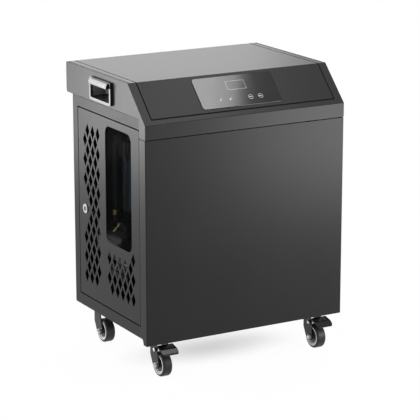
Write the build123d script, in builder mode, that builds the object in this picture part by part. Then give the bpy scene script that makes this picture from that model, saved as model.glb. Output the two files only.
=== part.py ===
from build123d import *
import os
from math import cos, radians, sin, sqrt, tan

# Wheeled water chiller cabinet for an ice bath: a folded sheet-metal cabinet on four swivel casters,
# with a sloped glass touch panel, a hinged service door and the refrigeration and water parts inside.
# Millimetres. X runs across the front, Y runs from the front to the rear, Z is up.
# The origin is on the floor, under the middle of the whole object.

os.makedirs("parts", exist_ok=True)

# Cabinet
cabinet_width = 500.0
body_depth = 348.0
cabinet_height = 648.0
base_height = 93.0
hood_overhang = 32.0
sheet = 1.2
bend_radius = 0.8
edge_round = 0.6
panel_seam = 2.0

# Base pan
pan_sheet = 1.5
pan_flange = 20.0

# Front panel
front_return = 28.0
apron_drop = 12.0
apron_flange = 8.0
apron_notch = 9.0
apron_slant = 4.5
panel_top_flange = 12.0

# Side sheets
rear_return = 18.0
lower_corner_radius = 4.0

# Hood and top cover
hood_side_height = 69.0
slope_angle = 45.0
slope_rise = 78.5
strip_height = 31.3
hood_corner_radius = 7.0
lap_groove = 0.8
edge_groove_inset = 7.0
edge_groove_width = 1.2
edge_groove_depth = 0.8
lap_tongue_down = 12.0
lap_tongue_up = 5.0
lap_tongue_inset = 4.0
cover_edge = 19.0
slope_edge = 14.0
cover_rear_flange = 16.0
ledge_width = 10.0

# Control panel on the slope
glass_width = 200.0
glass_height = 80.5
glass_thickness = 1.5
glass_corner = 7.0
glass_up_slope = 22.5
glass_overlap = 9.0
aperture_corner = 4.0
display_width = 47.0
display_height = 23.0
display_up_glass = 55.0
board_thickness = 1.6
housing_wall = 2.0
housing_depth = 16.0
housing_clearance = 0.5

# Service door opening in the left side
top_rail = 22.6
bottom_rail = 25.6
rear_stile = 23.1
jamb_depth = 15.5
stop_lip = 8.0
door_gap = 2.7
hinge_gap = 1.3
door_depth = 14.0
door_corner = 3.0
running_gap = 0.3
pin_clearance = 0.05

# Door hinge pins
hinge_pin_radius = 2.0
hinge_inset_x = 3.6
hinge_inset_y = 7.0
pin_head_radius = 4.0
pin_head_height = 2.0
pin_engagement = 6.0

# Door window
window_width = 123.0
window_height = 263.0
window_corner = 18.0
window_from_front = 36.8
window_from_top = 16.7
pane_lap = 6.0
pane_thickness = 3.0
gasket_thickness = 1.0
gasket_width = 4.5

# Diamond vents
diamond_width = 19.5
diamond_height = 33.0
vent_pitch_y = 25.4
vent_pitch_z = 45.0
vent_inset = 46.0
vent_margin = 28.0
window_vent_margin = 14.4
plain_band = 32.0
lock_vent_margin = 30.0
rear_vent_radius = 112.0

# Door lock
lock_from_rear = 32.6
lock_above_door_bottom = 204.5
bezel_radius = 11.0
bezel_height = 2.5
barrel_radius = 9.0
plug_radius = 6.0
plug_stand = 0.4
key_slot_width = 1.6
key_slot_length = 8.0
key_slot_depth = 4.0
plug_tail_radius = 4.0
cam_thickness = 2.2
cam_width = 13.0
cam_reach = 40.0
tail_stand = 1.5

# Recessed handles
handle_length = 102.5
handle_height = 51.0
handle_from_top = 12.0
handle_middle_y = 19.4
handle_corner = 6.0
handle_stand = 6.0
handle_frame = 6.0
cup_wall = 2.0
cup_depth = 38.0
cup_floor_radius = 12.0
cup_clearance = 0.5
trim_thickness = 2.0
grip_height = 12.5
grip_stand = 6.0
grip_end_inset = 9.0
grip_top_inset = 2.0

# Casters
caster_inset_x = 51.0
caster_setback = 40.0
caster_spacing_y = 275.0
caster_trail = 16.0
wheel_radius = 27.5
wheel_width = 22.0
tyre_thickness = 5.5
tyre_shoulder = 4.0
hub_recess = 2.5
hub_rim = 3.0
hub_boss_radius = 7.0
wheel_side_gap = 1.5
axle_radius = 3.0
axle_nut_radius = 5.5
axle_nut_height = 5.0
axle_end = 3.0
leg_thickness = 2.5
axle_boss_radius = 9.0
crown_height = 4.0
crown_length = 42.0
crown_corner = 8.0
raceway_radius = 21.0
raceway_height = 7.0
plate_size = 60.0
plate_thickness = 2.5
plate_corner = 6.0
plate_hole_radius = 3.3
plate_hole_inset = 8.0
kingpin_radius = 6.0
kingpin_head_radius = 9.0
kingpin_head_height = 2.0
raceway_taper = 12.0

# Brake pedals on the front casters
pedal_length = 42.0
pedal_width = 40.0
pedal_thickness = 2.5
pedal_pivot_height = 63.0
pedal_pivot_radius = 2.5
pedal_root_length = 9.0
pedal_root_height = 74.0
pedal_knee_length = 30.0
pedal_knee_height = 69.5
pedal_tip_height = 62.5
pedal_corner = 6.0
cheek_thickness = 2.0
pivot_boss_radius = 5.5
rivet_head_radius = 4.0
rivet_head_height = 1.5
brake_angle = 8.0
pad_gap = 0.5
pad_length = 9.0
pad_width = 18.0
pad_ahead = 5.0

# Wet bay behind the door
partition_inset = 124.0
partition_front_gap = 30.0
partition_height = 430.0
partition_foot = 15.0
shelf_height = 100.0
shelf_depth = 92.0
shelf_front_y = -30.0
shelf_length = 140.0
shelf_sheet = 2.0
shelf_lip = 12.0

# Water pump on the shelf
pump_radius = 42.0
volute_radius = 46.0
volute_length = 34.0
pump_motor_length = 84.0
pump_rear_round = 10.0
pump_foot_width = 60.0
pump_foot_length = 56.0
pump_foot_height = 12.0
pump_from_partition = 54.0
port_length = 14.0
pump_front_y = -10.0
pump_box_width = 36.0
pump_box_length = 44.0
pump_box_height = 12.0
pump_rib_count = 18
pump_rib_width = 2.5
pump_rib_stand = 2.5

# Water filter
filter_middle_y = -26.0
filter_bowl_radius = 40.0
filter_wall = 3.0
filter_bowl_height = 128.0
filter_bowl_round = 14.0
filter_above_pump = 50.0
filter_head_radius = 46.0
filter_head_height = 36.0
filter_rib_count = 24
filter_rib_radius = 2.5
filter_collar_height = 16.0
cartridge_radius = 28.0
cartridge_core_radius = 12.0
pleat_count = 24
pleat_depth = 4.0
bracket_width = 50.0

# Hoses and their brass ferrules
hose_radius = 9.0
hose_wall = 2.5
hose_bend = 20.0
ferrule_radius = 11.5
ferrule_length = 12.0

# Evaporator barrel
exchanger_side_gap = 9.8
exchanger_rear_gap = 5.8
exchanger_radius = 45.0
exchanger_height = 330.0
exchanger_round = 12.0
exchanger_port_height = 300.0

# Compressor
compressor_x = 110.0
compressor_y = -72.0
compressor_radius = 60.0
compressor_height = 178.0
compressor_crown = 24.0
compressor_seam_height = 8.0
compressor_seam_stand = 2.5
discharge_offset = 24.0
terminal_width = 44.0
terminal_depth = 30.0
terminal_height = 52.0
foot_height = 14.0
foot_radius = 9.0
foot_spread = 100.0
foot_plate_thickness = 3.0
foot_plate_size = 124.0
foot_stud_radius = 3.5

# Condenser and fan
condenser_side_gap = 20.0
condenser_width = 260.0
condenser_height = 330.0
condenser_depth = 27.0
condenser_clear_rear = 8.0
end_plate = 2.0
fin_groove = 5.0
fin_groove_depth = 4.0
fin_groove_count = 24
core_inset = 6.0
return_bend_count = 6
return_bend_radius = 10.0
shroud_depth = 38.0
shroud_lip = 12.0
shroud_sheet = 1.5
fan_radius = 100.0
fan_tip_gap = 5.0
fan_hub_radius = 26.0
fan_blade_count = 5
fan_blade_chord = 62.0
fan_blade_thickness = 2.0
fan_blade_sag = 7.0
fan_blade_pitch = 28.0
fan_hub_length = 18.0
fan_shaft_radius = 4.0
fan_motor_radius = 36.0
fan_motor_length = 48.0
motor_arm_width = 12.0
motor_arm_thickness = 3.0
motor_bore_depth = 20.0
motor_band_length = 16.0

# Refrigerant lines
line_radius = 4.0
line_wall = 0.8
line_bend = 12.0
line_port_wall = 2.0
line_port_length = 6.0
line_top_clearance = 40.0
suction_below_top = 72.0
liquid_port_height = 26.0
drier_radius = 11.0
drier_length = 84.0

# Electrical box
electric_depth = 58.0
electric_length = 96.0
electric_height = 150.0
electric_corner = 4.0
electric_lid = 3.0
electric_lid_lap = 2.0
electric_front_gap = 6.0
electric_from_top = 45.0

# Rear connections
union_thread_radius = 13.2
union_thread_length = 18.0
union_bore = 9.0
union_flange_radius = 19.0
union_flange_thickness = 5.0
union_collar = 1.5
union_inner_length = 12.0
inlet_width = 48.0
inlet_height = 27.5
inlet_corner = 3.0
inlet_flange = 4.0
inlet_flange_thickness = 2.5
inlet_depth = 26.0
inlet_socket_width = 24.5
inlet_socket_height = 17.0
inlet_socket_depth = 16.0
inlet_pin_width = 2.0
inlet_pin_height = 4.0
inlet_pin_spacing = 7.0
inlet_pin_rise = 4.0
inlet_from_side = 95.0
inlet_below_hood = 70.0
rear_hole_clearance = 0.3

# Places worked out from the sizes above
half_width = cabinet_width / 2
inner_x = half_width - sheet
pedal_reach = pedal_length + caster_trail - caster_setback
front_y = pedal_reach - (pedal_reach + body_depth + hood_overhang) / 2
rear_y = front_y + body_depth
hood_rear_y = rear_y + hood_overhang
return_y = front_y + front_return
outer_bend = bend_radius + sheet
pan_top = base_height + pan_sheet
pan_flange_top = base_height + pan_flange
lap_z = cabinet_height - hood_side_height
slope_bottom_z = cabinet_height - slope_rise
slope_top_y = front_y + slope_rise / tan(radians(slope_angle))
strip_bottom_z = slope_bottom_z - strip_height
front_panel_top = strip_bottom_z - panel_seam
apron_z = base_height - apron_drop

opening_bottom = base_height + bottom_rail
opening_top = lap_z - top_rail
opening_rear = rear_y - rear_stile
door_front = return_y + hinge_gap
door_rear = opening_rear - door_gap
door_bottom = opening_bottom + door_gap
door_top = opening_top - door_gap
door_length = door_rear - door_front
door_height = door_top - door_bottom
hinge_x = -half_width + hinge_inset_x
hinge_y = door_front + hinge_inset_y
jamb_x = -half_width + jamb_depth

window_y = door_front + window_from_front + window_width / 2
window_z = door_top - window_from_top - window_height / 2
window_rear = window_y + window_width / 2
lock_y = door_rear - lock_from_rear
lock_z = door_bottom + lock_above_door_bottom

cover_half = half_width - cover_edge - panel_seam
slope_plane = Plane(
    origin=(0, front_y, slope_bottom_z),
    x_dir=(1, 0, 0),
    z_dir=(0, -sin(radians(slope_angle)), cos(radians(slope_angle))),
)
glass_middle = glass_up_slope + glass_height / 2

handle_z = cabinet_height - handle_from_top - handle_height / 2
cup_length = handle_length - 2 * handle_frame
cup_height = handle_height - 2 * handle_frame


def save(piece, name):
    """Label a finished piece and write its file."""
    piece.part.label = name
    export_step(piece.part, f"parts/{name}.step")


def across(x):
    """The plane at x whose drawing runs along Y and up, facing +X."""
    return Plane.YZ.offset(x)


def upright(y):
    """The plane at y whose drawing runs along X and up, facing the front."""
    return Plane.XZ.offset(-y)


def level(z):
    """The level plane at height z."""
    return Plane.XY.offset(z)


def shifted_path(points, distance):
    """An open line of points moved sideways to its left, with its corners mitred."""
    corners = [Vector(*point) for point in points]
    sides = []
    for start, end in zip(corners, corners[1:]):
        run = (end - start).normalized()
        sides.append(Vector(-run.Y, run.X))
    moved = [corners[0] + sides[0] * distance]
    for corner, before, after in zip(corners[1:-1], sides, sides[1:]):
        moved.append(corner + (before + after) * (distance / (1 + before.dot(after))))
    moved.append(corners[-1] + sides[-1] * distance)
    return [(point.X, point.Y) for point in moved]


def folded_strip(points, depth, thickness, outer_radius, inner_radius):
    """Draw the section of a folded sheet that lies a depth under the line of points."""
    outer = FilletPolyline(*shifted_path(points, -depth), radius=outer_radius)
    inner = FilletPolyline(*shifted_path(points, -depth - thickness), radius=inner_radius)
    Line(outer @ 0, inner @ 0)
    Line(outer @ 1, inner @ 1)


def diamond_vents(spots):
    """Draw a diamond at each spot of the active sketch."""
    with Locations(*spots):
        Polygon(
            (-diamond_width / 2, 0),
            (0, -diamond_height / 2),
            (diamond_width / 2, 0),
            (0, diamond_height / 2),
            align=None,
        )


def lattice(low_y, high_y, low_z, high_z, anchor_y, anchor_z):
    """The spots of two interleaved grids that keep the vent margin inside a rectangle."""
    spots = []
    columns = int((high_y - low_y) / vent_pitch_y) + 2
    rows = int((high_z - low_z) / vent_pitch_z) + 2
    for shift in (0.0, 0.5):
        for column in range(-1, columns):
            for row in range(-1, rows):
                y = anchor_y - (column - shift) * vent_pitch_y
                z = anchor_z - (row + shift) * vent_pitch_z
                inside_y = low_y + vent_margin <= y <= high_y - vent_margin
                inside_z = low_z + vent_margin <= z <= high_z - vent_margin
                if inside_y and inside_z:
                    spots.append((y, z))
    return spots


def gap_to_box(spot, middle, width, height):
    """How far a spot lies outside a rectangle, zero inside it."""
    out_y = max(abs(spot[0] - middle[0]) - width / 2, 0)
    out_z = max(abs(spot[1] - middle[1]) - height / 2, 0)
    return sqrt(out_y**2 + out_z**2)


def gap_to_point(spot, point):
    """The distance between two spots."""
    return sqrt((spot[0] - point[0]) ** 2 + (spot[1] - point[1]) ** 2)


side_vent_spots = [
    spot
    for spot in lattice(
        door_front, door_rear, door_bottom, door_top, door_rear - vent_inset, door_top - vent_inset
    )
    if gap_to_box(spot, (window_y, window_z), window_width, window_height) >= window_vent_margin
    and not window_rear - diamond_width / 2 < spot[0] < window_rear + plain_band
]
door_vent_spots = [
    spot for spot in side_vent_spots if gap_to_point(spot, (lock_y, lock_z)) >= lock_vent_margin
]

# Pump, filter and water port places, worked out first because the partition and rear panel follow them
partition_x = -half_width + partition_inset
barrel_x = partition_x + sheet + exchanger_side_gap + exchanger_radius
shelf_top = pan_top + shelf_height
filter_x = partition_x - sheet - pump_from_partition
pump_z = shelf_top + pump_foot_height + pump_radius
filter_bottom = pump_z + pump_radius + filter_above_pump
bowl_top = filter_bottom + filter_bowl_height
head_top = bowl_top + filter_head_height
filter_port_z = bowl_top + filter_head_height / 2
water_port_spots = {
    "water_inlet": (filter_x, pump_z),
    "water_outlet": (barrel_x, pan_top + exchanger_port_height),
}

# Caster places, worked out before the pan because its bolt holes follow them
caster_x = half_width - caster_inset_x
front_caster_y = front_y + caster_setback
rear_caster_y = front_caster_y + caster_spacing_y
caster_spots = {
    "front_left": (-caster_x, front_caster_y),
    "front_right": (caster_x, front_caster_y),
    "rear_left": (-caster_x, rear_caster_y),
    "rear_right": (caster_x, rear_caster_y),
}
plate_bolt_spots = [
    (x + sign_x * (plate_size / 2 - plate_hole_inset), y + sign_y * (plate_size / 2 - plate_hole_inset))
    for x, y in caster_spots.values()
    for sign_x in (-1, 1)
    for sign_y in (-1, 1)
]

# Condenser and barrel places, worked out before the rear panel because its vents follow them
condenser_middle_x = half_width - condenser_side_gap - condenser_width / 2
condenser_rear_y = rear_y - sheet - condenser_clear_rear
condenser_front_y = condenser_rear_y - condenser_depth
condenser_middle_y = condenser_rear_y - condenser_depth / 2
shroud_front_y = condenser_front_y - shroud_depth
barrel_y = shroud_front_y - exchanger_rear_gap - exchanger_radius
discharge_x = compressor_x + discharge_offset

# Compressor foot places, shared by the pan, the grommets and the compressor
foot_spots = [
    (compressor_x + sign_x * foot_spread / 2, compressor_y + sign_y * foot_spread / 2)
    for sign_x in (-1, 1)
    for sign_y in (-1, 1)
]

# Base pan: a shallow tray that closes the underside and carries the casters and the compressor
pan_front = front_y + sheet
pan_rear = rear_y - sheet
pan_middle_y = (pan_front + pan_rear) / 2
pan_length = pan_rear - pan_front
with BuildPart() as base_pan:
    with BuildSketch(level(base_height)):
        with Locations((0, pan_middle_y)):
            Rectangle(2 * inner_x, pan_length)
    extrude(amount=pan_flange)
    fillet(base_pan.edges().filter_by(Axis.Z), outer_bend)
    with BuildSketch(level(pan_top)):
        with Locations((0, pan_middle_y)):
            Rectangle(2 * (inner_x - pan_sheet), pan_length - 2 * pan_sheet)
    extrude(amount=pan_flange, mode=Mode.SUBTRACT)
    with BuildSketch(level(base_height)):
        with Locations(*plate_bolt_spots):
            Circle(plate_hole_radius)
        with Locations(*foot_spots):
            Circle(foot_stud_radius)
    extrude(amount=pan_sheet, mode=Mode.SUBTRACT)
save(base_pan, "base_pan")

# Front panel: one sheet folded round both front corners, with an apron that hides the caster plates
panel_height = front_panel_top - apron_z
panel_path = [(half_width, return_y), (half_width, front_y), (-half_width, front_y), (-half_width, return_y)]
flange_half = half_width - sheet
with BuildPart() as front_panel:
    with BuildSketch(level(apron_z)):
        with BuildLine():
            folded_strip(panel_path, 0, sheet, outer_bend, bend_radius)
        make_face()
    extrude(amount=panel_height)
    with BuildSketch(level(apron_z)):
        with Locations((0, front_y + (sheet + apron_flange) / 2)):
            Rectangle(2 * (flange_half - caster_inset_x), sheet + apron_flange)
    extrude(amount=sheet)
    with BuildSketch(level(front_panel_top - sheet)):
        with Locations((0, front_y + (sheet + panel_top_flange) / 2)):
            Rectangle(2 * (flange_half - outer_bend), sheet + panel_top_flange)
    extrude(amount=sheet)
    with BuildSketch(across(-half_width)):
        Polygon(
            (return_y, base_height),
            (return_y - apron_notch, base_height),
            (return_y - apron_notch - apron_slant, apron_z),
            (return_y, apron_z),
            align=None,
        )
    extrude(amount=cabinet_width, mode=Mode.SUBTRACT)
    notch_edges = front_panel.edges().filter_by(Axis.X).filter_by(
        lambda edge: abs(edge.center().Y - return_y + apron_notch) < sheet
        and abs(edge.center().Z - base_height) < sheet
    )
    fillet(notch_edges, apron_notch / 2)
save(front_panel, "front_panel")


def side_shell(side):
    """One side sheet with its joggled front edge, its rear return and the tongue under the hood."""
    outer_x = side * half_width
    inside = -side * sheet
    stile_front = front_y + sheet + bend_radius
    stile_rear = return_y + sheet
    stile_top = strip_bottom_z + strip_height / 2
    with BuildPart() as shell:
        with BuildSketch(across(outer_x)):
            Polygon(
                (return_y, base_height),
                (rear_y, base_height),
                (rear_y, lap_z),
                (return_y, lap_z),
                align=None,
            )
        extrude(amount=inside)
        lower_corner = (outer_x, rear_y, base_height)
        fillet(shell.edges().filter_by(Axis.X).sort_by_distance(lower_corner)[0], lower_corner_radius)
        with BuildSketch(across(outer_x + inside)):
            Polygon(
                (stile_front, pan_flange_top),
                (stile_rear, pan_flange_top),
                (stile_rear, stile_top),
                (stile_front, stile_top),
                align=None,
            )
            Polygon(
                (return_y - sheet, lap_z - lap_tongue_down),
                (rear_y - lap_tongue_inset, lap_z - lap_tongue_down),
                (rear_y - lap_tongue_inset, lap_z + lap_tongue_up),
                (return_y - sheet, lap_z + lap_tongue_up),
                align=None,
            )
        extrude(amount=inside)
        with BuildSketch(across(outer_x + inside)):
            Polygon(
                (rear_y - 2 * sheet, pan_flange_top),
                (rear_y - sheet, pan_flange_top),
                (rear_y - sheet, lap_z - lap_tongue_down),
                (rear_y - 2 * sheet, lap_z - lap_tongue_down),
                align=None,
            )
        extrude(amount=-side * rear_return)
    return shell.part


# Left side: a fixed frame round the door opening, with folded jambs and a stop lip behind the door
opening_middle = ((return_y + opening_rear) / 2, (opening_bottom + opening_top) / 2)
opening_length = opening_rear - return_y
opening_height = opening_top - opening_bottom
left_shell = side_shell(-1)
with BuildPart() as left_side_frame:
    add(left_shell)
    with BuildSketch(across(-half_width)):
        with Locations(opening_middle):
            Rectangle(opening_length, opening_height)
    extrude(amount=2 * sheet, mode=Mode.SUBTRACT)
    with BuildSketch(across(-half_width)):
        Polygon(
            (return_y, opening_bottom - sheet),
            (opening_rear + sheet, opening_bottom - sheet),
            (opening_rear + sheet, opening_top + sheet),
            (return_y, opening_top + sheet),
            align=None,
        )
        with Locations(opening_middle):
            Rectangle(opening_length, opening_height, mode=Mode.SUBTRACT)
    extrude(amount=jamb_depth)
    with BuildSketch(across(-inner_x)):
        with Locations((return_y - sheet / 2, opening_middle[1])):
            Rectangle(sheet, opening_height + 2 * sheet)
    extrude(amount=jamb_depth - sheet)
    with BuildSketch(across(jamb_x - sheet)):
        with Locations((opening_rear + sheet - (stop_lip + sheet) / 2, opening_middle[1])):
            Rectangle(stop_lip + sheet, opening_height)
    extrude(amount=sheet)
    with BuildSketch(level(opening_bottom - sheet)):
        with Locations((hinge_x, hinge_y)):
            Circle(hinge_pin_radius + pin_clearance)
    extrude(amount=opening_height + 2 * sheet, mode=Mode.SUBTRACT)
save(left_side_frame, "left_side_frame")

# Right side: a plain fixed panel with the same vents as the door's rear half
right_vent_spots = [spot for spot in side_vent_spots if spot[0] > window_rear]
right_shell = side_shell(1)
with BuildPart() as right_side_panel:
    add(right_shell)
    with BuildSketch(across(half_width)):
        diamond_vents(right_vent_spots)
    extrude(amount=-sheet, mode=Mode.SUBTRACT)
save(right_side_panel, "right_side_panel")

# Hood: the folded cap with its sides, the strip over the front panel and the closed rear overhang
hood_path = [
    (front_y, strip_bottom_z),
    (front_y, slope_bottom_z),
    (slope_top_y, cabinet_height),
    (hood_rear_y, cabinet_height),
    (hood_rear_y, lap_z),
]
hood_inner_path = shifted_path(hood_path, -sheet)
hood_floor = lap_z + sheet
with BuildPart() as hood:
    with BuildSketch(across(-half_width)):
        with BuildLine():
            FilletPolyline(
                *hood_path,
                (rear_y, lap_z),
                (return_y, lap_z),
                (return_y, strip_bottom_z),
                radius=[0, outer_bend, outer_bend, outer_bend, hood_corner_radius, 0, 0, 0],
                close=True,
            )
        make_face()
    extrude(amount=cabinet_width)
    side_edges = hood.edges().filter_by(
        lambda edge: abs(abs(edge.center().X) - half_width) < pin_clearance
        and edge.center().Z > lap_z + hood_corner_radius
        or abs(abs(edge.center().X) - half_width) < pin_clearance
        and edge.center().Y < return_y - sheet
        and edge.center().Z > strip_bottom_z + sheet
    )
    fillet(side_edges, edge_round)
    with BuildSketch(across(-inner_x)):
        Polygon(
            (hood_inner_path[1][0], strip_bottom_z - sheet),
            *hood_inner_path[1:4],
            (hood_inner_path[4][0], hood_floor),
            (rear_y - sheet, hood_floor),
            (rear_y - sheet, strip_bottom_z - sheet),
            align=None,
        )
    extrude(amount=2 * inner_x, mode=Mode.SUBTRACT)
    slope_run = (slope_top_y - front_y, cabinet_height - slope_bottom_z)
    slope_length = sqrt(slope_run[0] ** 2 + slope_run[1] ** 2)
    slope_step = (slope_run[0] / slope_length, slope_run[1] / slope_length)
    cover_start = (front_y + slope_step[0] * slope_edge, slope_bottom_z + slope_step[1] * slope_edge)
    cover_end = (hood_rear_y, cabinet_height - cover_rear_flange)
    cut_start = (cover_start[0] - slope_step[0] * panel_seam, cover_start[1] - slope_step[1] * panel_seam)
    cut_end = (hood_rear_y, cover_end[1] - panel_seam)
    cut_path = [cut_start, *hood_path[2:4], cut_end]
    with BuildSketch(across(-cover_half - panel_seam)):
        Polygon(*shifted_path(cut_path, sheet), *reversed(shifted_path(cut_path, -2 * sheet)), align=None)
    extrude(amount=2 * (cover_half + panel_seam), mode=Mode.SUBTRACT)
    ledge_start = (
        cut_start[0] - slope_step[0] * ledge_width / 2,
        cut_start[1] - slope_step[1] * ledge_width / 2,
    )
    ledge_end = (hood_rear_y, cut_end[1] - ledge_width / 2)
    ledge_path = [ledge_start, *hood_path[2:4], ledge_end]
    for side in (-1, 1):
        with BuildSketch(across(side * (cover_half - ledge_width))):
            with BuildLine():
                folded_strip(ledge_path, sheet, sheet, bend_radius, 0)
            make_face()
        extrude(amount=side * (inner_x - cover_half + ledge_width))
    front_ledge_end = (cut_start[0] + slope_step[0] * ledge_width, cut_start[1] + slope_step[1] * ledge_width)
    rear_ledge_start = (hood_rear_y, cut_end[1] + ledge_width)
    for ends in ([ledge_start, front_ledge_end], [rear_ledge_start, ledge_end]):
        with BuildSketch(across(-cover_half)):
            Polygon(*shifted_path(ends, -sheet), *reversed(shifted_path(ends, -2 * sheet)), align=None)
        extrude(amount=2 * cover_half)
    with BuildSketch(across(-half_width)):
        with Locations(((slope_top_y + rear_y) / 2, lap_z)):
            Rectangle(rear_y - slope_top_y, 2 * lap_groove)
    extrude(amount=sheet, mode=Mode.SUBTRACT)
    with BuildSketch(across(inner_x)):
        with Locations(((slope_top_y + rear_y) / 2, lap_z)):
            Rectangle(rear_y - slope_top_y, 2 * lap_groove)
    extrude(amount=sheet, mode=Mode.SUBTRACT)
    with BuildSketch(level(cabinet_height)):
        with Locations((0, (slope_top_y + outer_bend + hood_rear_y) / 2)):
            with GridLocations(2 * (half_width - edge_groove_inset), 0, 2, 1):
                Rectangle(edge_groove_width, hood_rear_y - slope_top_y - outer_bend)
    extrude(amount=-edge_groove_depth, mode=Mode.SUBTRACT)
    with BuildSketch(across(-half_width)):
        with Locations((handle_middle_y, handle_z)):
            RectangleRounded(
                cup_length + 2 * (cup_wall + cup_clearance),
                cup_height + 2 * (cup_wall + cup_clearance),
                handle_corner,
            )
    extrude(amount=cabinet_width, mode=Mode.SUBTRACT)
save(hood, "hood")

# Top cover: one folded sheet for the top, the slope and a short rear flange, with the display window
cover_path = [cover_start, *hood_path[2:4], cover_end]
with BuildPart() as top_cover:
    with BuildSketch(across(-cover_half)):
        with BuildLine():
            folded_strip(cover_path, 0, sheet, outer_bend, bend_radius)
        make_face()
    extrude(amount=2 * cover_half)
    with BuildSketch(slope_plane):
        with Locations((0, glass_middle)):
            RectangleRounded(
                glass_width - 2 * glass_overlap, glass_height - 2 * glass_overlap, aperture_corner
            )
    extrude(amount=-2 * sheet, mode=Mode.SUBTRACT)
save(top_cover, "top_cover")

# Control glass: the touch panel bonded on the slope
with BuildPart() as control_glass:
    with BuildSketch(slope_plane):
        with Locations((0, glass_middle)):
            RectangleRounded(glass_width, glass_height, glass_corner)
    extrude(amount=glass_thickness)
    chamfer(control_glass.faces().sort_by(lambda face: face.center().Z).last.edges(), glass_thickness / 4)
save(control_glass, "control_glass")

# Control housing: the moulded tray behind the glass that holds the board
housing_width = glass_width - 2 * glass_overlap
housing_height = glass_height - 2 * glass_overlap
housing_plane = slope_plane.offset(-sheet)
with BuildPart() as control_housing:
    with BuildSketch(housing_plane):
        with Locations((0, glass_middle)):
            RectangleRounded(housing_width, housing_height, aperture_corner)
    extrude(amount=-housing_depth)
    with BuildSketch(housing_plane):
        with Locations((0, glass_middle)):
            RectangleRounded(
                housing_width - 2 * housing_wall, housing_height - 2 * housing_wall, aperture_corner / 2
            )
    extrude(amount=-(housing_depth - housing_wall), mode=Mode.SUBTRACT)
save(control_housing, "control_housing")

# Control board, lying on the floor of the housing
board_width = housing_width - 2 * housing_wall - 2 * housing_clearance
board_height = housing_height - 2 * housing_wall - 2 * housing_clearance
board_plane = housing_plane.offset(-(housing_depth - housing_wall))
with BuildPart() as control_board:
    with BuildSketch(board_plane):
        with Locations((0, glass_middle)):
            RectangleRounded(board_width, board_height, aperture_corner / 2)
    extrude(amount=board_thickness)
save(control_board, "control_board")

# Display module, standing on the board and touching the back of the glass
display_stand = sheet + housing_depth - housing_wall - board_thickness
with BuildPart() as display_module:
    with BuildSketch(board_plane.offset(board_thickness)):
        with Locations((0, glass_up_slope + display_up_glass)):
            Rectangle(display_width, display_height)
    extrude(amount=display_stand)
save(display_module, "display_module")

# Rear panel: inset between the side sheets, with a round field of vents behind the condenser
rear_height = lap_z - pan_flange_top
exhaust_z = pan_top + condenser_height / 2
exhaust_spots = [
    spot
    for spot in lattice(
        condenser_middle_x - condenser_width,
        condenser_middle_x + condenser_width,
        exhaust_z - condenser_height,
        exhaust_z + condenser_height,
        condenser_middle_x,
        exhaust_z,
    )
    if gap_to_point(spot, (condenser_middle_x, exhaust_z)) <= rear_vent_radius
]
inlet_x = half_width - inlet_from_side
inlet_z = lap_z - inlet_below_hood
with BuildPart() as rear_panel:
    with BuildSketch(upright(rear_y)):
        with Locations((0, pan_flange_top + rear_height / 2)):
            Rectangle(2 * inner_x, rear_height)
    extrude(amount=sheet)
    with BuildSketch(upright(rear_y)):
        with Locations((0, (base_height + pan_flange_top) / 2)):
            Rectangle(2 * inner_x, pan_flange)
    extrude(amount=sheet)
    with BuildSketch(upright(rear_y)):
        diamond_vents(exhaust_spots)
        with Locations((inlet_x, inlet_z)):
            RectangleRounded(
                inlet_width + 2 * rear_hole_clearance, inlet_height + 2 * rear_hole_clearance, inlet_corner
            )
        with Locations(*water_port_spots.values()):
            Circle(union_thread_radius + rear_hole_clearance)
    extrude(amount=sheet, mode=Mode.SUBTRACT)
save(rear_panel, "rear_panel")

# Water unions: a flanged body through the rear panel with an outside thread for the tub's hoses
for name, (port_x, port_z) in water_port_spots.items():
    with BuildPart() as union:
        with BuildSketch(upright(rear_y)):
            with Locations((port_x, port_z)):
                Circle(union_flange_radius)
        extrude(amount=-union_collar)
        with BuildSketch(upright(rear_y + union_collar)):
            with Locations((port_x, port_z)):
                RegularPolygon(union_flange_radius, 6)
        extrude(amount=union_collar - union_flange_thickness)
        with BuildSketch(upright(rear_y + union_flange_thickness)):
            with Locations((port_x, port_z)):
                Circle(union_thread_radius)
        extrude(amount=-union_thread_length)
        with BuildSketch(upright(rear_y)):
            with Locations((port_x, port_z)):
                Circle(union_thread_radius)
        extrude(amount=sheet + union_inner_length)
        with BuildSketch(upright(rear_y + union_flange_thickness + union_thread_length)):
            with Locations((port_x, port_z)):
                Circle(union_bore)
        extrude(
            amount=union_flange_thickness + union_thread_length + sheet + union_inner_length,
            mode=Mode.SUBTRACT,
        )
        chamfer(union.edges().filter_by(GeomType.CIRCLE).sort_by(Axis.Y)[-1], sheet)
    save(union, name)

# Power inlet: a panel socket with its three contacts, left without a cord
with BuildPart() as power_inlet:
    with BuildSketch(upright(rear_y)):
        with Locations((inlet_x, inlet_z)):
            RectangleRounded(inlet_width + 2 * inlet_flange, inlet_height + 2 * inlet_flange, inlet_corner)
    extrude(amount=-inlet_flange_thickness)
    with BuildSketch(upright(rear_y)):
        with Locations((inlet_x, inlet_z)):
            RectangleRounded(inlet_width, inlet_height, inlet_corner)
    extrude(amount=inlet_depth)
    with BuildSketch(upright(rear_y + inlet_flange_thickness)):
        with Locations((inlet_x, inlet_z)):
            RectangleRounded(inlet_socket_width, inlet_socket_height, inlet_corner)
    extrude(amount=inlet_socket_depth, mode=Mode.SUBTRACT)
    with BuildSketch(upright(rear_y + inlet_flange_thickness - inlet_socket_depth)):
        with Locations(
            (inlet_x - inlet_pin_spacing, inlet_z - inlet_pin_rise / 2),
            (inlet_x, inlet_z + inlet_pin_rise / 2),
            (inlet_x + inlet_pin_spacing, inlet_z - inlet_pin_rise / 2),
        ):
            Rectangle(inlet_pin_width, inlet_pin_height)
    extrude(amount=-(inlet_socket_depth - inlet_flange_thickness))
save(power_inlet, "power_inlet")

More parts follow.
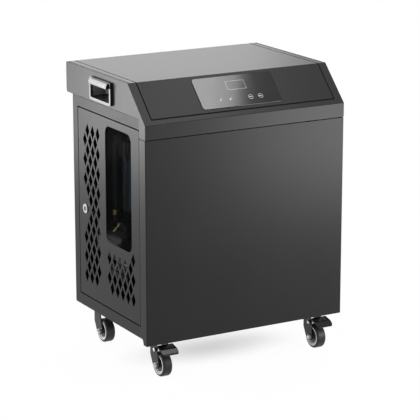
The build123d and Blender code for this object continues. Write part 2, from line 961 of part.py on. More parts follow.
# Recessed handles: a moulded cup through the hood's side, with a plated trim and lifting grip
handle_base = handle_stand - trim_thickness
for name, side in {"left": -1, "right": 1}.items():
    face_x = side * half_width
    with BuildPart() as cup:
        with BuildSketch(across(face_x)):
            with Locations((handle_middle_y, handle_z)):
                RectangleRounded(handle_length, handle_height, handle_corner)
        extrude(amount=side * handle_base)
        with BuildSketch(across(face_x)):
            with Locations((handle_middle_y, handle_z)):
                RectangleRounded(cup_length + 2 * cup_wall, cup_height + 2 * cup_wall, handle_corner)
        extrude(amount=-side * (cup_depth + cup_wall))
        fillet(cup.faces().sort_by(Axis.X)[0 if side > 0 else -1].edges(), cup_floor_radius)
        with BuildSketch(across(face_x + side * handle_base)):
            with Locations((handle_middle_y, handle_z)):
                RectangleRounded(cup_length, cup_height, handle_corner - cup_wall)
        hollow = extrude(amount=-side * (handle_base + cup_depth), mode=Mode.PRIVATE)
        hollow = hollow.fillet(
            cup_floor_radius - cup_wall, hollow.faces().sort_by(Axis.X)[0 if side > 0 else -1].edges()
        )
        add(hollow, mode=Mode.SUBTRACT)
    save(cup, f"{name}_handle_cup")

    with BuildPart() as trim:
        with BuildSketch(across(face_x + side * handle_base)):
            with Locations((handle_middle_y, handle_z)):
                RectangleRounded(handle_length, handle_height, handle_corner)
                RectangleRounded(cup_length, cup_height, handle_corner - cup_wall, mode=Mode.SUBTRACT)
        extrude(amount=side * trim_thickness)
        grip_x = face_x + side * handle_base
        grip_plane = Plane(
            origin=(grip_x, handle_middle_y, handle_z + handle_height / 2 - grip_top_inset),
            x_dir=(side, 0, 0),
            z_dir=(0, -side, 0),
        )
        grip_half = handle_length / 2 - grip_end_inset
        with BuildSketch(grip_plane.offset(-grip_half)):
            with BuildLine():
                Polyline(
                    (0, 0),
                    (trim_thickness + grip_stand / 2, 0),
                    (trim_thickness + grip_stand, -grip_height / 2),
                    (trim_thickness + grip_stand, -grip_height),
                    (0, -grip_height + grip_stand / 3),
                    close=True,
                )
            make_face()
        extrude(amount=2 * grip_half)
        grip_edges = trim.edges().filter_by(Axis.Y).group_by(lambda edge: abs(edge.center().X))[-1]
        fillet(grip_edges, trim_thickness / 2)
    save(trim, f"{name}_handle_trim")

# Service door: a folded pan with the window, the vents, the lock hole and the two pivot holes
door_middle = ((door_front + door_rear) / 2, (door_bottom + door_top) / 2)
with BuildPart() as service_door:
    with BuildSketch(across(-half_width)):
        with Locations(door_middle):
            RectangleRounded(door_length, door_height, door_corner)
    extrude(amount=door_depth)
    fillet(service_door.faces().sort_by(Axis.X)[0].edges(), edge_round)
    with BuildSketch(across(-inner_x)):
        with Locations(door_middle):
            RectangleRounded(door_length - 2 * sheet, door_height - 2 * sheet, door_corner - sheet)
    extrude(amount=door_depth, mode=Mode.SUBTRACT)
    with BuildSketch(across(-half_width)):
        with Locations((window_y, window_z)):
            RectangleRounded(window_width, window_height, window_corner)
        with Locations((lock_y, lock_z)):
            Circle(barrel_radius + pin_clearance)
        diamond_vents(door_vent_spots)
    extrude(amount=sheet, mode=Mode.SUBTRACT)
    with BuildSketch(level(door_bottom)):
        with Locations((hinge_x, hinge_y)):
            Circle(hinge_pin_radius + pin_clearance)
    extrude(amount=door_height, mode=Mode.SUBTRACT)
save(service_door, "service_door")

# Window gasket and smoked pane, held on the inside of the door
pane_width = window_width + 2 * pane_lap
pane_height = window_height + 2 * pane_lap
pane_corner = window_corner + pane_lap
gasket_inner_x = -inner_x + gasket_thickness
with BuildPart() as window_gasket:
    with BuildSketch(across(-inner_x)):
        with Locations((window_y, window_z)):
            RectangleRounded(pane_width, pane_height, pane_corner)
            RectangleRounded(
                pane_width - 2 * gasket_width,
                pane_height - 2 * gasket_width,
                pane_corner - gasket_width,
                mode=Mode.SUBTRACT,
            )
    extrude(amount=gasket_thickness)
save(window_gasket, "window_gasket")

with BuildPart() as window_pane:
    with BuildSketch(across(gasket_inner_x)):
        with Locations((window_y, window_z)):
            RectangleRounded(pane_width, pane_height, pane_corner)
    extrude(amount=pane_thickness)
save(window_pane, "window_pane")

# Hinge pins: one dropped in from above, one pushed up from below with a collar that carries the door
head_flat_x = -inner_x + running_gap
with BuildPart() as hinge_pins:
    with BuildSketch(level(door_top - pin_engagement)):
        with Locations((hinge_x, hinge_y)):
            Circle(hinge_pin_radius)
    extrude(amount=pin_engagement + door_gap + sheet)
    with BuildSketch(level(opening_top + sheet)):
        with Locations((hinge_x, hinge_y)):
            Circle(pin_head_radius)
        with Locations((head_flat_x - pin_head_radius, hinge_y)):
            Rectangle(2 * pin_head_radius, 2 * pin_head_radius, mode=Mode.SUBTRACT)
    extrude(amount=pin_head_height)
    with BuildSketch(level(opening_bottom - sheet)):
        with Locations((hinge_x, hinge_y)):
            Circle(hinge_pin_radius)
    extrude(amount=pin_engagement + door_gap + sheet)
    with BuildSketch(level(opening_bottom - sheet - pin_head_height)):
        with Locations((hinge_x, hinge_y)):
            Circle(pin_head_radius)
        with Locations((head_flat_x - pin_head_radius, hinge_y)):
            Rectangle(2 * pin_head_radius, 2 * pin_head_radius, mode=Mode.SUBTRACT)
    extrude(amount=pin_head_height)
    with BuildSketch(level(opening_bottom)):
        with Locations((hinge_x, hinge_y)):
            Circle((hinge_pin_radius + hinge_inset_x) / 2)
    extrude(amount=door_gap - running_gap)
save(hinge_pins, "hinge_pins")

# Cam lock: a barrel through the door, a turning plug with its key slot, and the cam behind the lip
cam_x = jamb_x + running_gap
tail_x = cam_x + cam_thickness + tail_stand
with BuildPart() as lock_barrel:
    with BuildSketch(across(-half_width)):
        with Locations((lock_y, lock_z)):
            Circle(bezel_radius)
    extrude(amount=-bezel_height)
    chamfer(lock_barrel.edges().sort_by(Axis.X)[0], bezel_height / 3)
    with BuildSketch(across(-half_width)):
        with Locations((lock_y, lock_z)):
            Circle(barrel_radius)
    extrude(amount=cam_x - running_gap + half_width)
    with BuildSketch(across(-half_width - bezel_height)):
        with Locations((lock_y, lock_z)):
            Circle(plug_radius + pin_clearance)
    extrude(amount=cam_x + half_width + bezel_height, mode=Mode.SUBTRACT)
save(lock_barrel, "lock_barrel")

plug_face_x = -half_width - bezel_height - plug_stand
with BuildPart() as lock_plug:
    with BuildSketch(across(plug_face_x)):
        with Locations((lock_y, lock_z)):
            Circle(plug_radius)
    extrude(amount=cam_x - plug_face_x)
    with BuildSketch(across(cam_x)):
        with Locations((lock_y, lock_z)):
            Circle(plug_tail_radius)
    extrude(amount=tail_x - cam_x)
    with BuildSketch(across(plug_face_x)):
        with Locations((lock_y, lock_z)):
            SlotOverall(key_slot_length, key_slot_width, rotation=90)
    extrude(amount=key_slot_depth, mode=Mode.SUBTRACT)
save(lock_plug, "lock_plug")

with BuildPart() as lock_cam:
    with BuildSketch(across(cam_x)):
        with Locations((lock_y, lock_z - cam_reach / 2)):
            SlotOverall(cam_reach + cam_width, cam_width, rotation=90)
        with Locations((lock_y, lock_z)):
            Circle(plug_tail_radius, mode=Mode.SUBTRACT)
    extrude(amount=cam_thickness)
save(lock_cam, "lock_cam")

# Casters. Each is drawn round its own swivel axis, with the wheel trailing towards the front.
fork_half_gap = wheel_width / 2 + wheel_side_gap
leg_outer = fork_half_gap + leg_thickness
plate_bottom = base_height - plate_thickness
raceway_bottom = plate_bottom - raceway_height
crown_top = raceway_bottom - running_gap
crown_bottom = crown_top - crown_height
wheel_centre = (-caster_trail, wheel_radius)
cheek_inner = leg_outer + running_gap


def beside(spot, dx):
    """The plane beside a swivel axis whose drawing runs along Y from the axis and up."""
    return Plane(origin=(spot[0] + dx, spot[1], 0), x_dir=(0, 1, 0), z_dir=(1, 0, 0))


def over(spot, z):
    """The level plane at height z with its middle on a swivel axis."""
    return Plane(origin=(spot[0], spot[1], z))


# Caster plates: four identical plates with their raceways and king pins
with BuildPart() as caster_plates:
    for spot in caster_spots.values():
        with BuildSketch(over(spot, base_height)):
            RectangleRounded(plate_size, plate_size, plate_corner)
            with GridLocations(plate_size - 2 * plate_hole_inset, plate_size - 2 * plate_hole_inset, 2, 2):
                Circle(plate_hole_radius, mode=Mode.SUBTRACT)
        extrude(amount=-plate_thickness)
        with BuildSketch(over(spot, plate_bottom)):
            Circle(raceway_radius)
        extrude(amount=-raceway_height, taper=raceway_taper)
        with BuildSketch(over(spot, raceway_bottom)):
            Circle(kingpin_radius)
        extrude(amount=-(running_gap + crown_height + running_gap))
        with BuildSketch(over(spot, crown_bottom - running_gap)):
            Circle(kingpin_head_radius)
        extrude(amount=-kingpin_head_height)
save(caster_plates, "caster_plates")

for name, spot in caster_spots.items():
    braked = name.startswith("front")

    # Fork: a pressed crown on the king pin with two legs that reach down to the axle
    with BuildPart() as fork:
        with BuildSketch(over(spot, crown_top)):
            RectangleRounded(2 * leg_outer, crown_length, crown_corner)
            Circle(raceway_radius)
        extrude(amount=-crown_height)
        for side in (-1, 1):
            with BuildSketch(beside(spot, side * fork_half_gap)):
                with BuildLine():
                    Polyline(
                        (-crown_length / 2 + crown_corner, crown_top - crown_height / 2),
                        (crown_length / 2 - crown_corner, crown_top - crown_height / 2),
                        (crown_length / 2 - crown_corner, wheel_radius + 2 * axle_boss_radius),
                        (-caster_trail + 2 * axle_boss_radius, wheel_radius - axle_radius),
                        (-caster_trail + axle_boss_radius / 2, wheel_radius - axle_boss_radius / 2),
                        (-caster_trail - axle_boss_radius, wheel_radius),
                        close=True,
                    )
                make_face()
                with Locations(wheel_centre):
                    Circle(axle_boss_radius)
                if braked:
                    with Locations((-caster_trail, pedal_pivot_height)):
                        Circle(pivot_boss_radius)
            extrude(amount=side * leg_thickness)
        with BuildSketch(over(spot, crown_top)):
            Circle(kingpin_radius + pin_clearance)
        extrude(amount=-crown_height, mode=Mode.SUBTRACT)
        with BuildSketch(beside(spot, -leg_outer)):
            with Locations(wheel_centre):
                Circle(axle_radius)
        extrude(amount=2 * leg_outer, mode=Mode.SUBTRACT)
        if braked:
            pivot_length = cheek_inner + cheek_thickness + running_gap
            with BuildSketch(beside(spot, -pivot_length)):
                with Locations((-caster_trail, pedal_pivot_height)):
                    Circle(pedal_pivot_radius)
            extrude(amount=2 * pivot_length)
            for side in (-1, 1):
                with BuildSketch(beside(spot, side * pivot_length)):
                    with Locations((-caster_trail, pedal_pivot_height)):
                        Circle(rivet_head_radius)
                extrude(amount=side * rivet_head_height)
    save(fork, f"{name}_fork")

    # Axle: a bolt with its nut, held in the fork's legs
    with BuildPart() as axle:
        with BuildSketch(beside(spot, -leg_outer)):
            with Locations(wheel_centre):
                Circle(axle_radius)
        extrude(amount=2 * leg_outer)
        for side in (-1, 1):
            with BuildSketch(beside(spot, side * leg_outer)):
                with Locations(wheel_centre):
                    RegularPolygon(axle_nut_radius, 6)
            extrude(amount=side * axle_nut_height)
        with BuildSketch(beside(spot, -leg_outer - axle_nut_height)):
            with Locations(wheel_centre):
                Circle(axle_radius)
        extrude(amount=-axle_end)
    save(axle, f"{name}_axle")

    # Wheel hub: a dished disc with a rim and a bearing boss
    hub_radius = wheel_radius - tyre_thickness
    with BuildPart() as hub:
        with BuildSketch(beside(spot, -wheel_width / 2)):
            with Locations(wheel_centre):
                Circle(hub_radius)
                Circle(axle_radius + pin_clearance, mode=Mode.SUBTRACT)
        extrude(amount=wheel_width)
        for side in (-1, 1):
            with BuildSketch(beside(spot, side * wheel_width / 2)):
                with Locations(wheel_centre):
                    Circle(hub_radius - hub_rim)
                    Circle(hub_boss_radius, mode=Mode.SUBTRACT)
            extrude(amount=-side * hub_recess, mode=Mode.SUBTRACT)
    save(hub, f"{name}_wheel_hub")

    # Tyre: a band round the hub with rounded shoulders
    with BuildPart() as tyre:
        with BuildSketch(beside(spot, -wheel_width / 2)):
            with Locations(wheel_centre):
                Circle(wheel_radius)
        extrude(amount=wheel_width)
        fillet(tyre.edges().filter_by(GeomType.CIRCLE), tyre_shoulder)
        with BuildSketch(beside(spot, -wheel_width / 2)):
            with Locations(wheel_centre):
                Circle(hub_radius)
        extrude(amount=wheel_width, mode=Mode.SUBTRACT)
    save(tyre, f"{name}_tyre")

    if not braked:
        continue

    # Brake pedal: a sloped tread plate, two cheeks on the pivot and a pad over the tyre
    root = (-caster_trail - pedal_root_length, pedal_root_height)
    knee = (-caster_trail - pedal_knee_length, pedal_knee_height)
    tip = (-caster_trail - pedal_length + pedal_thickness, pedal_tip_height)
    lip = (-caster_trail - pedal_length, pedal_tip_height - pedal_thickness)
    pad_middle = -caster_trail - pad_ahead - pad_length / 2
    pad_reach = pad_ahead + pad_length
    tyre_top = wheel_radius + sqrt(wheel_radius**2 - pad_ahead**2)
    pad_bottom = tyre_top + pad_gap + pad_reach * sin(radians(brake_angle))
    with BuildPart() as pedal:
        with BuildSketch(beside(spot, -pedal_width / 2)):
            with BuildLine():
                folded_strip([lip, tip, knee, root], 0, pedal_thickness, pedal_thickness, 0)
            make_face()
        extrude(amount=pedal_width)
        with BuildSketch(over(spot, pedal_root_height)):
            with Locations((0, -caster_trail - pedal_length / 2)):
                RectangleRounded(pedal_width, pedal_length, pedal_corner)
        extrude(amount=-2 * pedal_root_height, both=True, mode=Mode.INTERSECT)
        for side in (-1, 1):
            with BuildSketch(beside(spot, side * cheek_inner)):
                with BuildLine():
                    Polyline(
                        (root[0], root[1] - pedal_thickness / 2),
                        (knee[0], knee[1] - pedal_thickness / 2),
                        (-caster_trail - pivot_boss_radius / 2, pedal_pivot_height - pivot_boss_radius),
                        (-caster_trail, pedal_pivot_height + pivot_boss_radius),
                        close=True,
                    )
                make_face()
                with Locations((-caster_trail, pedal_pivot_height)):
                    Circle(pivot_boss_radius)
            extrude(amount=side * cheek_thickness)
        with BuildSketch(beside(spot, -pad_width / 2)):
            Polygon(
                (pad_middle + pad_length / 2, pad_bottom),
                (pad_middle + pad_length / 2, root[1] - pedal_thickness),
                (pad_middle - pad_length / 2, root[1] - pedal_thickness),
                (pad_middle - pad_length / 2, pad_bottom),
                align=None,
            )
        extrude(amount=pad_width)
        with BuildSketch(beside(spot, -pedal_width)):
            with Locations((-caster_trail, pedal_pivot_height)):
                Circle(pedal_pivot_radius + pin_clearance)
        extrude(amount=2 * pedal_width, mode=Mode.SUBTRACT)
    save(pedal, f"{name}_brake_pedal")

# Partition: a folded wall between the wet bay and the dry side, with the pump shelf welded to it
partition_front = front_y + partition_front_gap
partition_length = rear_y - sheet - partition_front
partition_middle = partition_front + partition_length / 2
shelf_middle = (partition_x - shelf_depth / 2, shelf_front_y + shelf_length / 2)
with BuildPart() as partition:
    with BuildSketch(level(pan_top)):
        with Locations((partition_x + sheet / 2, partition_middle)):
            Rectangle(sheet, partition_length)
        with Locations((partition_x - partition_foot / 2, rear_y - 3 * sheet / 2)):
            Rectangle(partition_foot, sheet)
    extrude(amount=partition_height)
    with BuildSketch(level(pan_top)):
        with Locations((partition_x - partition_foot / 2, partition_middle)):
            Rectangle(partition_foot, partition_length)
    extrude(amount=sheet)
    with BuildSketch(level(pan_top)):
        with Locations((partition_x, pan_rear)):
            Rectangle(2 * partition_foot, 2 * pan_sheet)
    extrude(amount=pan_flange_top - pan_top, mode=Mode.SUBTRACT)
    with BuildSketch(level(shelf_top)):
        with Locations(shelf_middle):
            Rectangle(shelf_depth, shelf_length)
    extrude(amount=-shelf_lip)
    with BuildSketch(level(shelf_top - shelf_sheet)):
        with Locations(shelf_middle):
            Rectangle(shelf_depth - 2 * shelf_sheet, shelf_length)
    extrude(amount=-shelf_lip, mode=Mode.SUBTRACT)
    with BuildSketch(across(partition_x)):
        with Locations((filter_middle_y, filter_port_z)):
            Circle(hose_radius + rear_hole_clearance)
    extrude(amount=sheet, mode=Mode.SUBTRACT)
save(partition, "partition")

# Water pump: a round motor with its volute at the rear, an inlet on the axis and an outlet on top
volute_front_y = pump_front_y + pump_motor_length
volute_rear_y = volute_front_y + volute_length
discharge_y = volute_front_y + volute_length / 2
discharge_top = pump_z + volute_radius + port_length
motor_middle_y = pump_front_y + pump_motor_length / 2
with BuildPart() as water_pump:
    with BuildSketch(upright(volute_front_y)):
        with Locations((filter_x, pump_z)):
            Circle(pump_radius)
    extrude(amount=pump_motor_length)
    fillet(water_pump.faces().sort_by(Axis.Y)[0].edges(), pump_rear_round)
    with BuildSketch(upright(volute_front_y)):
        with Locations((filter_x, pump_z)):
            with PolarLocations(pump_radius, pump_rib_count):
                Rectangle(2 * pump_rib_stand, pump_rib_width)
    extrude(amount=pump_motor_length - pump_rear_round)
    with BuildSketch(upright(volute_rear_y)):
        with Locations((filter_x, pump_z)):
            Circle(volute_radius)
    extrude(amount=volute_length)
    fillet(water_pump.faces().sort_by(Axis.Y)[-1].edges(), pump_rear_round / 2)
    with BuildSketch(upright(volute_rear_y + port_length)):
        with Locations((filter_x, pump_z)):
            Circle(hose_radius)
    extrude(amount=port_length)
    with BuildSketch(level(discharge_top)):
        with Locations((filter_x, discharge_y)):
            Circle(hose_radius)
    extrude(amount=pump_z - discharge_top)
    with BuildSketch(level(shelf_top)):
        with Locations((filter_x, motor_middle_y)):
            Rectangle(pump_foot_width, pump_foot_length)
    extrude(amount=pump_foot_height / 3)
    with BuildSketch(level(shelf_top)):
        with Locations((filter_x, motor_middle_y)):
            Rectangle(pump_foot_width / 2, pump_foot_length)
    extrude(amount=pump_z - shelf_top)
    with BuildSketch(level(pump_z)):
        with Locations((filter_x, motor_middle_y)):
            RectangleRounded(pump_box_width, pump_box_length, electric_corner)
    extrude(amount=pump_radius + pump_box_height)
save(water_pump, "water_pump")

# Water filter: a ribbed head on the partition, a clear bowl under it and the cartridge inside
with BuildPart() as filter_head:
    with BuildSketch(level(bowl_top)):
        with Locations((filter_x, filter_middle_y)):
            Circle(filter_head_radius - filter_rib_radius)
            with PolarLocations(filter_head_radius - filter_rib_radius, filter_rib_count):
                Circle(filter_rib_radius)
    extrude(amount=filter_head_height)
    with BuildSketch(level(bowl_top)):
        with Locations(((filter_x + partition_x) / 2, filter_middle_y)):
            Rectangle(partition_x - filter_x, bracket_width)
    extrude(amount=filter_head_height)
    with BuildSketch(level(head_top)):
        with Locations((filter_x, filter_middle_y)):
            Circle(cartridge_radius)
    extrude(amount=filter_collar_height / 2)
    chamfer(filter_head.faces().sort_by(Axis.Z)[-1].edges(), filter_collar_height / 4)
    with BuildSketch(upright(filter_middle_y + filter_head_radius + port_length)):
        with Locations((filter_x, filter_port_z)):
            Circle(hose_radius)
    extrude(amount=filter_head_radius + port_length)
    with BuildSketch(across(filter_x)):
        with Locations((filter_middle_y, filter_port_z)):
            Circle(hose_radius)
    extrude(amount=filter_head_radius + port_length)
save(filter_head, "filter_head")

with BuildPart() as filter_bowl:
    with BuildSketch(level(filter_bottom)):
        with Locations((filter_x, filter_middle_y)):
            Circle(filter_bowl_radius)
    extrude(amount=filter_bowl_height)
    fillet(filter_bowl.faces().sort_by(Axis.Z)[0].edges(), filter_bowl_round)
    with BuildSketch(level(filter_bottom + filter_wall)):
        with Locations((filter_x, filter_middle_y)):
            Circle(filter_bowl_radius - filter_wall)
    hollow = extrude(amount=filter_bowl_height, mode=Mode.PRIVATE)
    hollow = hollow.fillet(filter_bowl_round - filter_wall, hollow.faces().sort_by(Axis.Z)[0].edges())
    add(hollow, mode=Mode.SUBTRACT)
save(filter_bowl, "filter_bowl")

pleat_root = min(cartridge_radius, filter_bowl_radius - filter_bowl_round) - pleat_depth
pleat_width = 2 * pleat_root * tan(radians(180 / pleat_count))
with BuildPart() as filter_cartridge:
    with BuildSketch(level(filter_bottom + filter_wall)):
        with Locations((filter_x, filter_middle_y)):
            Circle(pleat_root)
            with PolarLocations(pleat_root - pleat_width / 2, pleat_count):
                Polygon(
                    (0, -pleat_width / 2),
                    (pleat_depth + pleat_width / 2, 0),
                    (0, pleat_width / 2),
                    align=None,
                )
            Circle(cartridge_core_radius, mode=Mode.SUBTRACT)
    extrude(amount=filter_bowl_height - filter_wall)
save(filter_cartridge, "filter_cartridge")

# Heat exchanger: an insulated barrel on the pan, with water ports on top and behind
exchanger_top = pan_top + exchanger_height
exchanger_spot = (barrel_x, barrel_y)
suction_y = barrel_y - exchanger_radius / 2
suction_z = exchanger_top - suction_below_top
liquid_x = barrel_x - exchanger_radius / 2
liquid_z = suction_z - suction_below_top / 2
line_reach = exchanger_radius + line_port_length
with BuildPart() as heat_exchanger:
    with BuildSketch(level(pan_top)):
        with Locations(exchanger_spot):
            Circle(exchanger_radius)
    extrude(amount=exchanger_height)
    fillet(heat_exchanger.faces().sort_by(Axis.Z)[-1].edges(), exchanger_round)
    with BuildSketch(level(exchanger_top)):
        with Locations(exchanger_spot):
            Circle(hose_radius)
    extrude(amount=port_length)
    with BuildSketch(upright(barrel_y + exchanger_radius + port_length)):
        with Locations((barrel_x, pan_top + exchanger_port_height)):
            Circle(hose_radius)
    extrude(amount=exchanger_radius + port_length)
    with BuildSketch(across(barrel_x)):
        with Locations((suction_y, suction_z)):
            Circle(line_radius + line_port_wall)
    extrude(amount=line_reach)
    with BuildSketch(upright(barrel_y + line_reach)):
        with Locations((liquid_x, liquid_z)):
            Circle(line_radius + line_port_wall)
    extrude(amount=line_reach)
save(heat_exchanger, "heat_exchanger")

# Water hoses: straight runs joined by round bends, from port to port, and a brass ferrule on each end
inner_union_y = rear_y - sheet - union_inner_length
exchanger_port_z = pan_top + exchanger_port_height
side_port_x = filter_x + filter_head_radius + port_length
rear_port_y = filter_middle_y + filter_head_radius + port_length
exchanger_port_y = barrel_y + exchanger_radius + port_length
straight_hoses = [
    [(filter_x, inner_union_y, pump_z), (filter_x, volute_rear_y + port_length, pump_z)],
    [(barrel_x, exchanger_port_y, exchanger_port_z), (barrel_x, inner_union_y, exchanger_port_z)],
]
bent_hoses = [
    [
        (filter_x, discharge_y, discharge_top),
        (filter_x, discharge_y, filter_port_z),
        (filter_x, rear_port_y, filter_port_z),
    ],
    [
        (side_port_x, filter_middle_y, filter_port_z),
        (barrel_x, filter_middle_y, filter_port_z),
        (barrel_x, barrel_y, filter_port_z),
        (barrel_x, barrel_y, exchanger_top + port_length),
    ],
]
hose_ends = []
for points in straight_hoses + bent_hoses:
    hose_ends.append((points[0], points[1]))
    hose_ends.append((points[-1], points[-2]))
with BuildPart() as water_hoses:
    for points in straight_hoses + bent_hoses:
        with BuildLine() as route:
            if len(points) == 2:
                Line(*points)
            else:
                FilletPolyline(*points, radius=hose_bend)
        with BuildSketch(Plane(origin=route.line @ 0, z_dir=route.line % 0)):
            Circle(hose_radius)
            Circle(hose_radius - hose_wall, mode=Mode.SUBTRACT)
        sweep(path=route.line)
save(water_hoses, "water_hoses")

with BuildPart() as hose_ferrules:
    for end, inward in hose_ends:
        with BuildSketch(Plane(origin=end, z_dir=Vector(*inward) - Vector(*end))):
            Circle(ferrule_radius)
            Circle(hose_radius, mode=Mode.SUBTRACT)
        extrude(amount=ferrule_length)
save(hose_ferrules, "hose_ferrules")

# Compressor: a welded steel shell on a foot plate that stands on four rubber grommets
compressor_bottom = pan_top + foot_height
compressor_top = compressor_bottom + compressor_height
compressor_middle_z = compressor_bottom + compressor_height / 2
with BuildPart() as compressor:
    with BuildSketch(level(compressor_bottom)):
        with Locations((compressor_x, compressor_y)):
            Circle(compressor_radius)
    extrude(amount=compressor_height)
    fillet(compressor.edges().filter_by(GeomType.CIRCLE), compressor_crown)
    with BuildSketch(level(compressor_bottom)):
        with Locations((compressor_x, compressor_y)):
            RectangleRounded(foot_plate_size, foot_plate_size, foot_radius)
        with Locations(*foot_spots):
            Circle(foot_stud_radius, mode=Mode.SUBTRACT)
    extrude(amount=foot_plate_thickness)
    with BuildSketch(level(compressor_middle_z)):
        with Locations((compressor_x, compressor_y)):
            Circle(compressor_radius + compressor_seam_stand)
    extrude(amount=compressor_seam_height)
    with BuildSketch(level(compressor_middle_z - terminal_height)):
        with Locations((compressor_x, compressor_y - compressor_radius)):
            RectangleRounded(terminal_width, terminal_depth, electric_corner)
    extrude(amount=terminal_height)
    with BuildSketch(level(compressor_top - compressor_crown)):
        with Locations((discharge_x, compressor_y)):
            Circle(line_radius + line_port_wall)
    extrude(amount=compressor_crown + line_port_length)
    with BuildSketch(across(compressor_x)):
        with Locations((compressor_y, compressor_middle_z + terminal_height)):
            Circle(line_radius + line_port_wall)
    extrude(amount=-(compressor_radius + line_port_length))
save(compressor, "compressor")

with BuildPart() as compressor_feet:
    for foot_spot in foot_spots:
        with BuildSketch(level(pan_top)):
            with Locations(foot_spot):
                Circle(foot_radius)
                Circle(foot_stud_radius, mode=Mode.SUBTRACT)
        extrude(amount=foot_height)
save(compressor_feet, "compressor_feet")

# Condenser: a finned block between two end plates, with its return bends at the right end
condenser_top = pan_top + condenser_height
condenser_right = condenser_middle_x + condenser_width / 2
condenser_left = condenser_middle_x - condenser_width / 2
core_width = condenser_width - 2 * end_plate
core_height = condenser_height - 2 * core_inset
fin_pitch = core_width / (fin_groove_count + 1)
return_pitch = core_height / return_bend_count
with BuildPart() as condenser:
    with BuildSketch(upright(condenser_rear_y)):
        with Locations((condenser_middle_x, exhaust_z)):
            Rectangle(core_width, core_height)
    extrude(amount=condenser_depth)
    with BuildSketch(upright(condenser_rear_y)):
        with Locations((condenser_middle_x, exhaust_z)):
            with GridLocations(fin_pitch, 0, fin_groove_count, 1):
                Rectangle(fin_groove, core_height)
    extrude(amount=fin_groove_depth, mode=Mode.SUBTRACT)
    with BuildSketch(upright(condenser_front_y + fin_groove_depth)):
        with Locations((condenser_middle_x, exhaust_z)):
            with GridLocations(fin_pitch, 0, fin_groove_count, 1):
                Rectangle(fin_groove, core_height)
    extrude(amount=fin_groove_depth, mode=Mode.SUBTRACT)
    with BuildSketch(upright(condenser_rear_y)):
        with Locations((condenser_middle_x, exhaust_z)):
            with GridLocations(condenser_width - end_plate, 0, 2, 1):
                Rectangle(end_plate, condenser_height)
    extrude(amount=condenser_depth)
    for turn in range(return_bend_count):
        turn_z = exhaust_z - core_height / 2 + (turn + 0.5) * return_pitch
        with BuildSketch(across(condenser_right)):
            with Locations((condenser_middle_y, turn_z + return_bend_radius)):
                Circle(line_radius)
        revolve(axis=Axis((condenser_right, condenser_middle_y, turn_z), (0, 1, 0)), revolution_arc=180)
    with BuildSketch(level(condenser_top - 2 * core_inset)):
        with Locations((discharge_x, condenser_middle_y)):
            Circle(line_radius + line_port_wall)
    extrude(amount=2 * core_inset + line_port_length)
    with BuildSketch(across(condenser_left)):
        with Locations((condenser_middle_y, pan_top + liquid_port_height)):
            Circle(line_radius + line_port_wall)
    extrude(amount=-line_port_length)
save(condenser, "condenser")

# Fan shroud: a shallow box on the condenser with a round orifice and four arms that hold the motor
orifice_radius = fan_radius + fan_tip_gap
arm_length = 2 * (orifice_radius + motor_arm_width / 2)
with BuildPart() as fan_shroud:
    with BuildSketch(upright(condenser_front_y)):
        with Locations((condenser_middle_x, exhaust_z)):
            Rectangle(condenser_width, condenser_height)
    extrude(amount=shroud_depth)
    with BuildSketch(upright(condenser_front_y)):
        with Locations((condenser_middle_x, exhaust_z)):
            Rectangle(condenser_width - 2 * shroud_sheet, condenser_height - 2 * shroud_sheet)
    extrude(amount=shroud_depth - shroud_sheet, mode=Mode.SUBTRACT)
    with BuildSketch(upright(shroud_front_y + shroud_lip)):
        with Locations((condenser_middle_x, exhaust_z)):
            Circle(orifice_radius + shroud_sheet)
    extrude(amount=shroud_lip)
    with BuildSketch(upright(shroud_front_y + shroud_lip)):
        with Locations((condenser_middle_x, exhaust_z)):
            Circle(orifice_radius)
    extrude(amount=shroud_lip, mode=Mode.SUBTRACT)
    with BuildSketch(upright(shroud_front_y)):
        with Locations((condenser_middle_x, exhaust_z)):
            Rectangle(arm_length, motor_arm_width, rotation=45)
            Rectangle(arm_length, motor_arm_width, rotation=-45)
            Circle(fan_motor_radius + motor_arm_thickness)
            Circle(fan_motor_radius, mode=Mode.SUBTRACT)
    extrude(amount=motor_arm_thickness)
    with BuildSketch(upright(shroud_front_y)):
        with Locations((condenser_middle_x, exhaust_z)):
            Circle(fan_motor_radius + motor_arm_thickness)
            Circle(fan_motor_radius, mode=Mode.SUBTRACT)
    extrude(amount=motor_band_length)
save(fan_shroud, "fan_shroud")

# Fan motor: a round can in the shroud's band, with a bore for the fan's shaft
with BuildPart() as fan_motor:
    with BuildSketch(upright(shroud_front_y)):
        with Locations((condenser_middle_x, exhaust_z)):
            Circle(fan_motor_radius)
    extrude(amount=fan_motor_length)
    fillet(fan_motor.faces().sort_by(Axis.Y)[0].edges(), pump_rear_round)
    with BuildSketch(upright(shroud_front_y)):
        with Locations((condenser_middle_x, exhaust_z)):
            Circle(fan_shaft_radius + pin_clearance)
    extrude(amount=motor_bore_depth, mode=Mode.SUBTRACT)
save(fan_motor, "fan_motor")

